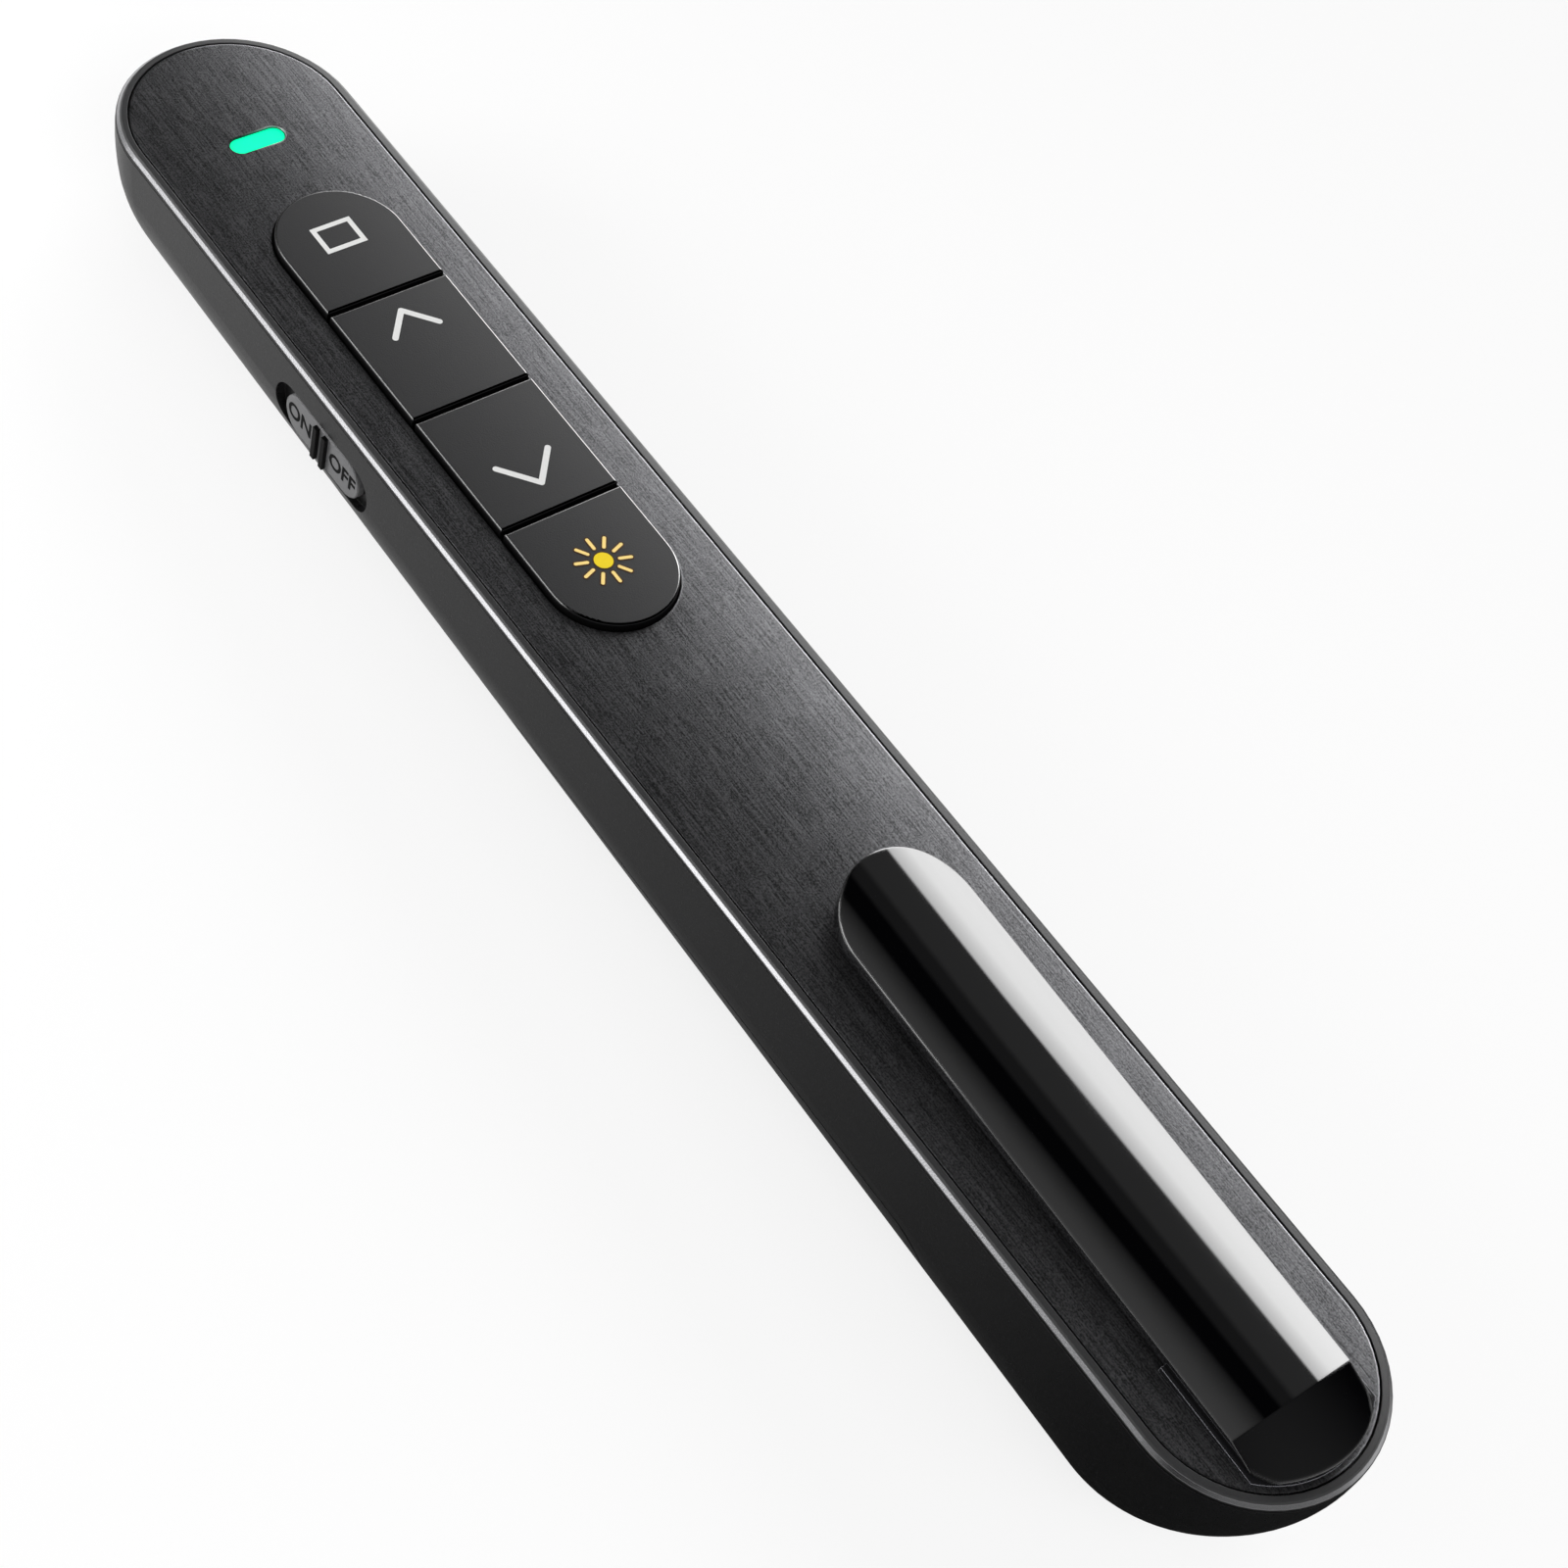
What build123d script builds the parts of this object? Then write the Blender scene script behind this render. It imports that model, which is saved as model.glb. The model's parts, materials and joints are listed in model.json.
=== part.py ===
from build123d import *
import os
from math import cos, radians, sin, sqrt, tan

os.makedirs("parts", exist_ok=True)

# A wireless presentation clicker, in millimetres.
# X runs across it, +Y runs towards the laser end (the head), and it lies on its flat back at Z = 0.
# The origin is the middle of the back. The deck is the tilted plane of the face plate and the keys:
# depths and heights on the front are measured square to it.

# ---------------------------------------------------------------------------------------------
# Driving dimensions
# ---------------------------------------------------------------------------------------------

# Body. Its length and height are those of what it holds, from the tail: the receiver's dock,
# the battery bay, and the circuit board under the keys
dock_end = 2.7              # docked plug's tip to the battery door
bay_setback = 5.1           # battery bay to the circuit board and the door's head end
board_end = 1.8             # circuit board's tail end to the middle of the last key
panel_from_head = 44.1      # middle of the key panel to the head end
cell_roof = 1.6             # battery to deck, at mid-length
body_width = 20.0
deck_tilt = 1.66            # degrees: the body is thicker at the tail
side_radius = 7.0           # rounding of the long back edges
tail_run = 11.4             # rounding of the tail's back edge, along the body
tail_rise = 14.1            # and up it
head_run = 12.6
head_rise = 10.5
wall = 1.2
form_steps = 8              # sections that carry the rounded form

# Front frame, face plate and the joints between the housings
rim_width = 1.05            # plate's edge to the body's side
plate_thickness = 0.8
plate_groove = 0.15         # black groove between the plate and the rim
glue_gap = 0.05
rim_edge = 0.6              # height of the frame's outer edge, chamfer included
rim_chamfer = 0.45
seam_gap = 0.1
frame_floor = 0.9
frame_inset = 0.6           # width of the rear shell's raised outer lip
fit_gap = 0.1               # ordinary clearance between parts that don't move
slide_gap = 0.15            # clearance round parts that move

# Keys
panel_length = 48.2
panel_width = 10.75
key_pitch = 12.2
key_gap = 0.4
key_rise = 0.7
key_travel = 0.35
key_wall = 1.0
key_wing = 0.7              # wings under the frame that hold a key in
wing_thickness = 0.5
key_edge = 0.22
stem_radius = 1.5
stem_length = 0.4
key_names = ["screen", "page_up", "page_down", "laser"]

# Circuit board and what it carries
board_margin = 2.6          # its edges to the body's sides
board_thickness = 0.8
nose_room = 10.5            # its head end to the body's
tact_size = 4.0
tact_height = 0.8
plunger_radius = 0.9
plunger_length = 0.8
chip_size = 5.0
chip_height = 0.9
chip_from_tail = 12.3       # from the board's tail end
crystal_length = 3.2
crystal_width = 1.6
crystal_height = 0.8
crystal_from_head = 19.4    # from the board's head end
board_screw_margin = 1.8    # its axis to the board's edge
board_screw_from_head = 6.4

# Indicator
led_from_head = 12.5        # from the body's head end
led_width = 4.85
led_thickness = 1.75
led_recess = 0.15
led_flange = 0.5
diode_length = 1.6
diode_width = 0.8
diode_height = 0.6

# Power switch in the left wall
switch_from_head = 39.05    # from the body's head end
switch_depth = 5.1          # its centre, below the deck
recess_length = 13.2
recess_height = 4.3
recess_depth = 0.85
thumb_length = 10.4
thumb_height = 3.7
thumb_thickness = 0.7
switch_throw = 1.1          # to each side of the middle
neck_length = 4.0
neck_height = 1.8
keeper_length = 7.0
keeper_height = 3.0
keeper_thickness = 0.6
ridge_height = 3.4
ridge_thickness = 0.5
ridge_spacing = 1.2
ridge_stand = 0.4
lever_length = 1.4
lever_height = 0.6
lever_reach = 1.7
prong_thickness = 0.8
switch_body_width = 3.0
switch_body_length = 8.0
switch_body_height = 2.0

# Laser
barrel_radius = 2.0
barrel_length = 12.0
barrel_lead = 0.6           # its front, beyond the board
lens_radius = 1.6
lens_thickness = 1.2
diode_can_length = 3.2
laser_bore = 1.4
window_thickness = 0.8
window_setback = 0.3
saddle_thickness = 1.5

# Battery bay: one AAA cell
cell_radius = 5.25
cell_length = 44.5
nub_radius = 1.9
nub_length = 1.0
spring_length = 3.8
spring_radius = 2.8
spring_wire = 0.6
spring_turns = 3.5
contact_thickness = 0.3
contact_width = 7.0
contact_height = 7.0
contact_bump = 0.7
bulkhead = 1.3
cradle_thickness = 1.2
cradle_count = 3
cradle_pitch = 15.0

# Battery door, the whole width of the back
door_depth = 8.5            # its upper edge, below the deck
door_gap = 0.2
door_corner = 4.0
tongue_width = 2.6
tongue_x = 2.4
tongue_reach = 1.5
tongue_thickness = 1.0
latch_width = 8.0
latch_height = 3.1
latch_thickness = 0.8
grip_count = 3
grip_pitch = 1.6
grip_width = 0.7
grip_length = 8.0
grip_depth = 0.4

# Case screws, in the corners of the battery bay
boss_radius = 2.0
boss_depth = 7.4            # its foot, below the deck
boss_split = 4.5            # where the shell's boss meets the frame's post
post_radius = 1.6
screw_radius = 0.8
screw_head_radius = 1.4
screw_head_height = 0.9
screw_length = 4.2
screw_slot = 0.35
board_screw_length = 2.8

# USB receiver, docked in the tail
cap_width = 15.4
cap_height = 7.3
cap_length = 14.5
cap_skin_length = 11.0      # the part of the cap that shows
strip_width = 14.0
notch_length = 7.8
notch_width = 1.9
notch_depth = 0.9
plug_width = 12.0
plug_height = 4.5
plug_length = 12.0
plug_sheet = 0.3
plug_seat = 3.0             # length of the plug held inside the cap
plug_lift = 0.2             # plug above the cap's inner strip
window_size = 2.2
window_spacing = 6.1
window_from_tip = 5.3
insert_height = 1.8
contact_count = 4
contact_pitch = 2.25
contact_strip = 1.2
contact_sheet = 0.2
radio_board_width = 10.6
radio_board_length = 4.6
radio_board_thickness = 0.8
radio_chip_size = 3.0
radio_chip_height = 0.8

# Pocket clip
clip_length = 53.6          # from its free end to the body's tail end
clip_half_width = 5.5
clip_edge_rise = 1.04       # top of its side faces, above the plate's tail
clip_edge = 0.8             # thickness of its side faces
clip_crown = 1.3            # rise of the arched top over the side faces
clip_roof = 0.45
clip_cheek = 1.0
clip_bend = 5.3             # the arch is level as far as this from the plate's tail
clip_dome_drop = 1.4        # and falls by this to the tail end
clip_open = 3.0             # degrees
clip_round = 0.2
clip_rib = 0.8
clip_rib_pitch = 11.0
clip_rib_count = 3
plate_margin = 0.4          # clip and foot stand in from the plate's edge by this
foot_half_width = 5.8
foot_length = 12.0          # from the plate's tail
foot_gap = 0.08
pin_from_tail = 7.0
pin_rise = 0.94             # above the plate's tail
pin_radius = 0.35
pin_half_length = 3.9
pin_fit = 0.04
ear_radius = 0.55           # ears of the foot, on the pin
ear_inner = 1.2
ear_outer = 2.4
lug_half_length = 1.1       # lugs of the clip, on the pin
coil_wire = 0.25
coil_radius = 0.55
coil_turns = 3.5
leg_length = 3.0
stud_radius = 0.8           # heat-staked studs that hold the foot
stud_head_radius = 1.4
stud_head_height = 0.6
stud_spacing = 7.6
stud_from_tail = 9.5

# ---------------------------------------------------------------------------------------------
# Shared planes, places and forms
# ---------------------------------------------------------------------------------------------

dock_length = cap_length + plug_length + dock_end
bay_length = spring_length + cell_length + contact_bump + contact_thickness
keys_reach = (len(key_names) - 1) / 2 * key_pitch
body_length = dock_length + bay_length + bay_setback + board_end + keys_reach + panel_from_head
body_height = wall + 2 * fit_gap + 2 * cell_radius + cell_roof
half_length = body_length / 2
half_width = body_width / 2
tilt = radians(deck_tilt)
deck = Plane(origin=(0, 0, body_height), x_dir=(1, 0, 0), z_dir=(0, sin(tilt), cos(tilt)))


def across(y, depth=0.0):
    """The plane square to the deck's length at y: local x is across, local y is up from a depth."""
    return Plane(
        origin=deck.from_local_coords(Vector(0, y, -depth)), x_dir=deck.x_dir, z_dir=-deck.y_dir
    )


def along(x, depth=0.0):
    """The upright lengthwise plane of the deck at x: local x is towards the head, local y is up."""
    return Plane(
        origin=deck.from_local_coords(Vector(x, 0, -depth)), x_dir=deck.y_dir, z_dir=deck.x_dir
    )


def edge_inset(climb, run, rise):
    """How far a rounded back edge stands in, at a climb above its foot."""
    if climb >= rise:
        return 0.0
    return run * (1 - sqrt(1 - ((rise - climb) / rise) ** 2))


def body_form(inset=0.0):
    """The body's closed form, smaller all round by an inset, and open-ended upwards."""
    turn = side_radius - inset
    above = tail_rise - side_radius
    levels = [turn * (1 - cos(radians(90 * step / form_steps))) for step in range(form_steps + 1)]
    levels += [turn + above * step / form_steps for step in range(1, form_steps + 1)]
    with BuildPart() as form:
        # one loft up to where the sides stand upright, and one for the ends above it
        for stretch in (levels[: form_steps + 1], levels[form_steps:]):
            for climb in stretch:
                side = inset + edge_inset(climb, turn, turn)
                tail = -half_length + inset + edge_inset(climb, tail_run - inset, tail_rise - inset)
                head = half_length - inset - edge_inset(climb, head_run - inset, head_rise - inset)
                with BuildSketch(Plane.XY.offset(inset + climb)):
                    with Locations((0, (tail + head) / 2)):
                        SlotOverall(head - tail, body_width - 2 * side, rotation=90)
            loft()
        extrude(form.faces().sort_by(Axis.Z)[-1], amount=body_height / 3)
    return form.part




def back_y(y):
    """Where the plane square to the deck at y comes out of the flat back."""
    return y / cos(tilt) - body_height * tan(tilt)


frame_depth = plate_thickness + glue_gap + frame_floor
plate_width = body_width - 2 * rim_width
pocket_width = plate_width + 2 * plate_groove
end_trim = body_width - plate_width      # what the plate's length lacks of the body's
plate_length = body_length - end_trim
plate_tail = -plate_length / 2
opening_length = panel_length + 2 * slide_gap
opening_width = panel_width + 2 * slide_gap
wing_top = frame_depth + fit_gap
wing_foot = wing_top + wing_thickness
stem_foot = wing_foot + stem_length
board_top = stem_foot + plunger_length + key_travel + glue_gap
board_foot = board_top + board_thickness
led_foot = board_top - diode_height - glue_gap
door_tail = -half_length + dock_length
bay_tail = door_tail - contact_thickness
cell_tail = bay_tail + contact_thickness + spring_length
cell_head = cell_tail + cell_length
bay_head = cell_head + contact_bump + contact_thickness
door_head = bay_head + bay_setback
door_hinge_y = back_y(door_head)
board_width = body_width - 2 * board_margin
board_tail = door_head
board_head = half_length - nose_room
board_screw_y = board_head - board_screw_from_head
panel_y = half_length - panel_from_head
led_y = half_length - led_from_head
switch_y = half_length - switch_from_head
barrel_front = board_head + barrel_lead
cell_z = wall + 2 * fit_gap + cell_radius
boss_x = half_width - wall - boss_radius + 2 * fit_gap
screw_seat = boss_depth - screw_head_height - fit_gap
boss_places = [
    (side * boss_x, y)
    for side in (-1, 1)
    for y in (bay_tail + boss_radius, bay_head + boss_radius)
]
board_screw_x = board_width / 2 - board_screw_margin
board_screw_places = [(-board_screw_x, board_screw_y), (board_screw_x, board_screw_y)]
stud_places = [
    (side * stud_spacing / 2, plate_tail + stud_from_tail) for side in (-1, 1)
]
barrel_depth = board_foot + slide_gap + barrel_radius
cap_head = -half_length + cap_length
skin_head = -half_length + cap_skin_length
strip_foot = wall + fit_gap
plug_foot = strip_foot + plug_lift
plug_z = plug_foot + plug_height / 2
plug_tip = cap_head + plug_length
dock_roof = cap_height + slide_gap + wall
keys_y = [panel_y + keys_reach - key_pitch * index for index in range(len(key_names))]

# ---------------------------------------------------------------------------------------------
# Housings
# ---------------------------------------------------------------------------------------------


def door_block(gap):
    """The door's outline from the side, wider all round by a gap, right across the body."""
    with BuildPart() as block:
        with BuildSketch(along(-half_width - wall, door_depth)) as side_view:
            with Locations(((door_tail + door_head) / 2, gap)):
                Rectangle(door_head - door_tail + 2 * gap, body_height, align=(Align.CENTER, Align.MAX))
            fillet(side_view.vertices().group_by(Axis.Y)[-1], door_corner + gap)
        extrude(amount=body_width + 2 * wall)
    return block.part


def body_bar(inset=0.0):
    """The body's form over its straight stretch at the door, smaller all round by an inset."""
    with BuildPart() as bar:
        with BuildSketch(Plane.XZ.offset(wall - door_tail)) as section:
            with Locations((0, inset)):
                Rectangle(body_width - 2 * inset, 2 * body_height, align=(Align.CENTER, Align.MIN))
            fillet(section.vertices().group_by(Axis.Y)[0], side_radius - inset)
        extrude(amount=door_tail - door_head - 2 * wall)
    return bar.part


# Ribs, bulkheads and bosses inside the rear shell, trimmed to merge with its wall
with BuildPart() as core:
    with BuildSketch(Plane.XY):
        with Locations((0, -half_length)):
            Rectangle(body_width, cap_length + slide_gap + wall, align=(Align.CENTER, Align.MIN))
    extrude(amount=dock_roof)
    with BuildSketch(Plane.XY):
        with Locations((0, cap_head)):
            Rectangle(plug_width + 2 * wall, bay_tail - cap_head, align=(Align.CENTER, Align.MIN))
    extrude(amount=plug_foot + plug_height + slide_gap + wall)
    with BuildSketch(Plane.XY):
        with Locations((0, bay_tail - bulkhead / 2), (0, bay_head + bulkhead / 2)):
            Rectangle(body_width, bulkhead)
    extrude(amount=2 * body_height)
    with BuildSketch(deck.offset(-boss_depth)):
        with Locations(*boss_places):
            Circle(boss_radius)
    extrude(amount=boss_depth)
    for depth, bore in (
        (boss_split, post_radius + fit_gap),
        (screw_seat, screw_radius + fit_gap),
    ):
        with BuildSketch(deck.offset(-depth)):
            with Locations(*boss_places):
                Circle(bore)
        extrude(amount=depth, mode=Mode.SUBTRACT)
    with BuildSketch(deck.offset(-boss_depth)):
        with Locations(*boss_places):
            Circle(screw_head_radius + fit_gap)
    extrude(amount=boss_depth - screw_seat, mode=Mode.SUBTRACT)
    with BuildSketch(Plane.XY.offset(cell_z)):
        with Locations((0, (cell_tail + cell_head) / 2)):
            with GridLocations(0, cradle_pitch, 1, cradle_count):
                Rectangle(body_width, cradle_thickness)
    extrude(amount=body_height)
    with BuildSketch(across(barrel_front, barrel_depth)):
        Rectangle(3 * barrel_radius, 3 * barrel_radius, align=(Align.CENTER, Align.MAX))
    extrude(amount=saddle_thickness)
    with BuildSketch(across(barrel_front - barrel_length + saddle_thickness, barrel_depth)):
        Rectangle(3 * barrel_radius, 3 * barrel_radius, align=(Align.CENTER, Align.MAX))
    extrude(amount=saddle_thickness)
    with BuildSketch(across(barrel_front, barrel_depth)):
        Circle(laser_bore + wall)
    extrude(amount=-half_length)
    with BuildSketch(deck.offset(-board_foot)):
        with Locations((-half_width, keys_y[3]), (half_width, keys_y[3])):
            Rectangle(2 * (half_width - board_width / 2 + wall / 2), tact_size)
    extrude(amount=-wall)
    add(body_form(wall / 2), mode=Mode.INTERSECT)
    split(bisect_by=deck.offset(-frame_depth - glue_gap), keep=Keep.BOTTOM)
    # behind the battery door they stand clear of its inner face
    with BuildPart(mode=Mode.PRIVATE) as door_skin:
        add(door_block(door_gap))
        add(body_form(wall + slide_gap), mode=Mode.SUBTRACT)
    add(door_skin.part, mode=Mode.SUBTRACT)


with BuildPart() as rear_shell:
    add(body_form())
    add(body_form(wall), mode=Mode.SUBTRACT)
    split(bisect_by=deck.offset(-rim_edge - seam_gap), keep=Keep.BOTTOM)
    add(door_block(door_gap), mode=Mode.SUBTRACT)
    add(core.part)
    # rebate for the front frame
    with BuildSketch(deck.offset(-frame_depth - glue_gap)):
        SlotOverall(body_length - 2 * frame_inset + 2 * glue_gap,
                    body_width - 2 * frame_inset + 2 * glue_gap, rotation=90)
    extrude(amount=frame_depth, mode=Mode.SUBTRACT)
    # room for the cell, and for the wings of the keys
    with BuildSketch(Plane.XZ.offset(-bay_tail)):
        with Locations((0, cell_z)):
            Circle(cell_radius + slide_gap)
    extrude(amount=-(bay_head - bay_tail), mode=Mode.SUBTRACT)
    with BuildSketch(deck.offset(-wing_foot - key_travel - slide_gap)):
        with Locations((0, panel_y)):
            SlotOverall(panel_length + 2 * key_wing + 2 * slide_gap,
                        panel_width + 2 * key_wing + 2 * slide_gap, rotation=90)
    extrude(amount=wing_foot, mode=Mode.SUBTRACT)
    # dock for the receiver: the plug's tunnel, the strip's pocket and the mouth of the cap
    with BuildSketch(Plane.XZ.offset(-(plug_tip + slide_gap))):
        with Locations((0, plug_z)):
            Rectangle(plug_width + 2 * slide_gap, plug_height + 2 * slide_gap)
    extrude(amount=half_length, mode=Mode.SUBTRACT)
    with BuildSketch(Plane.XZ.offset(-(cap_head + slide_gap))):
        with Locations((0, strip_foot - slide_gap / 2)):
            Rectangle(strip_width + 2 * slide_gap, cap_height + 1.5 * slide_gap - strip_foot,
                      align=(Align.CENTER, Align.MIN))
    extrude(amount=half_length, mode=Mode.SUBTRACT)
    with BuildSketch(Plane.XZ.offset(-(skin_head + slide_gap))):
        Rectangle(cap_width + 2 * slide_gap, cap_height + slide_gap, align=(Align.CENTER, Align.MIN))
    extrude(amount=half_length, mode=Mode.SUBTRACT)
    # laser seat and its way out of the head
    with BuildSketch(across(barrel_front + fit_gap, barrel_depth)):
        Circle(barrel_radius + glue_gap)
    extrude(amount=barrel_length + 2 * fit_gap, mode=Mode.SUBTRACT)
    with BuildSketch(across(barrel_front, barrel_depth)):
        Circle(laser_bore)
    extrude(amount=-half_length, mode=Mode.SUBTRACT)
    # power switch: recess outside, slot for its neck
    with BuildSketch(along(-half_width + recess_depth, switch_depth)):
        with Locations((switch_y, 0)):
            SlotOverall(recess_length, recess_height)
    extrude(amount=-half_width, mode=Mode.SUBTRACT)
    with BuildSketch(along(-half_width - wall, switch_depth)):
        with Locations((switch_y, 0)):
            Rectangle(neck_length + 2 * switch_throw + 2 * slide_gap, neck_height + 2 * slide_gap)
    extrude(amount=2 * wall + fit_gap, mode=Mode.SUBTRACT)
rear_shell.part.label = "rear_shell"
export_step(rear_shell.part, "parts/rear_shell.step")

with BuildPart() as front_frame:
    with BuildSketch(deck):
        SlotOverall(body_length, body_width, rotation=90)
    extrude(amount=-rim_edge)
    chamfer(front_frame.edges().group_by(Axis(deck.origin, deck.z_dir))[-1], rim_chamfer)
    with BuildSketch(deck.offset(-rim_edge)):
        SlotOverall(body_length - 2 * frame_inset, body_width - 2 * frame_inset, rotation=90)
    extrude(amount=-(frame_depth - rim_edge))
    with BuildSketch(deck.offset(-plate_thickness - glue_gap)):
        SlotOverall(plate_length + 2 * plate_groove, pocket_width, rotation=90)
    extrude(amount=body_height, mode=Mode.SUBTRACT)
    # posts for the case screws and the board screws
    with BuildSketch(deck.offset(-frame_depth)):
        with Locations(*boss_places):
            Circle(post_radius)
    extrude(amount=-(boss_split - glue_gap - frame_depth))
    with BuildSketch(deck.offset(-frame_depth)):
        with Locations(*board_screw_places):
            Circle(post_radius - fit_gap)
    extrude(amount=-(board_top - glue_gap - frame_depth))
    # openings for the keys, the indicator and the battery, and holes for the screws
    with BuildSketch(deck):
        with Locations((0, panel_y)):
            SlotOverall(opening_length, opening_width, rotation=90)
        with Locations((0, led_y)):
            SlotOverall(led_width + 2 * fit_gap, led_thickness + 2 * fit_gap)
        with Locations((0, (cell_tail + cell_head) / 2)):
            Rectangle(1.5 * cell_radius, cell_length + 2 * fit_gap)
        with Locations(*stud_places):
            Circle(stud_radius + glue_gap)
    extrude(amount=-(frame_depth + glue_gap), mode=Mode.SUBTRACT)
    with BuildSketch(deck.offset(-frame_depth - glue_gap + frame_floor / 2)):
        with Locations(*boss_places, *board_screw_places):
            Circle(screw_radius + glue_gap)
    extrude(amount=-body_height, mode=Mode.SUBTRACT)
front_frame.part.label = "front_frame"
export_step(front_frame.part, "parts/front_frame.step")

with BuildPart() as face_plate:
    with BuildSketch(deck):
        SlotOverall(plate_length, plate_width, rotation=90)
        with Locations((0, panel_y)):
            SlotOverall(opening_length, opening_width, rotation=90, mode=Mode.SUBTRACT)
        with Locations((0, led_y)):
            SlotOverall(led_width + 2 * glue_gap, led_thickness + 2 * glue_gap, mode=Mode.SUBTRACT)
        with Locations(*stud_places):
            Circle(stud_radius + glue_gap, mode=Mode.SUBTRACT)
    extrude(amount=-plate_thickness)
    chamfer(
        face_plate.edges().group_by(Axis(deck.origin, deck.z_dir))[-1].sort_by(SortBy.LENGTH)[-4:],
        glue_gap,
    )
face_plate.part.label = "face_plate"
export_step(face_plate.part, "parts/face_plate.step")

# ---------------------------------------------------------------------------------------------
# Keys and the switches under them
# ---------------------------------------------------------------------------------------------


def key_band(index):
    """The stretch of the panel that belongs to one key: its middle and its length."""
    reach = panel_length / 2 + 2 * key_wing
    high = reach if index == 0 else key_pitch * (2 - index) - key_gap / 2
    low = -reach if index == len(key_names) - 1 else key_pitch * (1 - index) + key_gap / 2
    return panel_y + (high + low) / 2, high - low


for index, key_name in enumerate(key_names):
    band_y, band_length = key_band(index)
    with BuildPart() as key:
        with BuildSketch(deck.offset(key_rise)):
            with Locations((0, panel_y)):
                SlotOverall(panel_length, panel_width, rotation=90)
            with Locations((0, band_y)):
                Rectangle(body_width, band_length, mode=Mode.INTERSECT)
        extrude(amount=-(key_rise + wing_top))
        fillet(key.edges().group_by(Axis(deck.origin, deck.z_dir))[-1], key_edge)
        with BuildSketch(deck.offset(-wing_top)):
            with Locations((0, panel_y)):
                SlotOverall(panel_length + 2 * key_wing, panel_width + 2 * key_wing, rotation=90)
            with Locations((0, band_y)):
                Rectangle(body_width, band_length, mode=Mode.INTERSECT)
        extrude(amount=-wing_thickness)
        with BuildSketch(deck.offset(-wing_foot)) as hollow:
            with Locations((0, panel_y)):
                SlotOverall(panel_length - 2 * key_wall, panel_width - 2 * key_wall, rotation=90)
            with Locations((0, band_y)):
                Rectangle(body_width, band_length - 2 * key_wall, mode=Mode.INTERSECT)
        extrude(amount=wing_foot + key_rise - key_wall, mode=Mode.SUBTRACT)
        with BuildSketch(deck.offset(key_rise - key_wall)):
            with Locations((0, keys_y[index])):
                Circle(stem_radius)
                Rectangle(panel_width - key_wall, key_wall)
        extrude(amount=-(key_rise - key_wall + wing_foot))
        with BuildSketch(deck.offset(-wing_foot)):
            with Locations((0, keys_y[index])):
                Circle(stem_radius)
        extrude(amount=-stem_length)
    key.part.label = f"{key_name}_button"
    export_step(key.part, f"parts/{key_name}_button.step")

    with BuildPart() as plunger:
        with BuildSketch(deck.offset(-stem_foot)):
            with Locations((0, keys_y[index])):
                Circle(plunger_radius)
        extrude(amount=-plunger_length)
    plunger.part.label = f"{key_name}_plunger"
    export_step(plunger.part, f"parts/{key_name}_plunger.step")

with BuildPart() as tact_switches:
    with BuildSketch(deck.offset(-board_top)):
        for key_y in keys_y:
            with Locations((0, key_y)):
                RectangleRounded(tact_size, tact_size, fit_gap * 3)
                Circle(plunger_radius + glue_gap, mode=Mode.SUBTRACT)
    extrude(amount=tact_height)
tact_switches.part.label = "tact_switches"
export_step(tact_switches.part, "parts/tact_switches.step")

# ---------------------------------------------------------------------------------------------
# Circuit board
# ---------------------------------------------------------------------------------------------

with BuildPart() as circuit_board:
    with BuildSketch(deck.offset(-board_top)) as board_outline:
        with Locations((0, (board_tail + board_head) / 2)):
            Rectangle(board_width, board_head - board_tail)
        fillet(board_outline.vertices().group_by(Axis.Y)[-1], board_width / 4)
        with Locations(*board_screw_places):
            Circle(screw_radius + fit_gap, mode=Mode.SUBTRACT)
    extrude(amount=-board_thickness)
circuit_board.part.label = "circuit_board"
export_step(circuit_board.part, "parts/circuit_board.step")

with BuildPart() as control_chip:
    with BuildSketch(deck.offset(-board_foot)):
        with Locations((0, board_tail + chip_from_tail)):
            Rectangle(chip_size, chip_size)
    extrude(amount=-chip_height)
    chamfer(control_chip.edges().group_by(Axis(deck.origin, deck.z_dir))[0], fit_gap)
control_chip.part.label = "control_chip"
export_step(control_chip.part, "parts/control_chip.step")

with BuildPart() as crystal:
    with BuildSketch(deck.offset(-board_foot)):
        with Locations((0, board_head - crystal_from_head)):
            RectangleRounded(crystal_length, crystal_width, crystal_width / 4)
    extrude(amount=-crystal_height)
crystal.part.label = "crystal"
export_step(crystal.part, "parts/crystal.step")

with BuildPart() as status_led:
    with BuildSketch(deck.offset(-board_top)):
        with Locations((0, led_y)):
            Rectangle(diode_length, diode_width)
    extrude(amount=diode_height)
status_led.part.label = "status_led"
export_step(status_led.part, "parts/status_led.step")

with BuildPart() as led_window:
    with BuildSketch(deck.offset(-led_recess)):
        with Locations((0, led_y)):
            SlotOverall(led_width, led_thickness)
    extrude(amount=-(led_foot - led_recess))
    with BuildSketch(deck.offset(-frame_depth - glue_gap)):
        with Locations((0, led_y)):
            SlotOverall(led_width + 2 * led_flange, led_thickness + 2 * led_flange)
    extrude(amount=-led_flange)
led_window.part.label = "led_window"
export_step(led_window.part, "parts/led_window.step")

# ---------------------------------------------------------------------------------------------
# Power switch
# ---------------------------------------------------------------------------------------------

thumb_face = -half_width + glue_gap
thumb_back = thumb_face + thumb_thickness
wall_inside = -half_width + wall
keeper_face = wall_inside + fit_gap
keeper_back = keeper_face + keeper_thickness
prong_end = keeper_back + prong_thickness
switch_face = prong_end + fit_gap
switch_back = switch_face + switch_body_width

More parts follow.
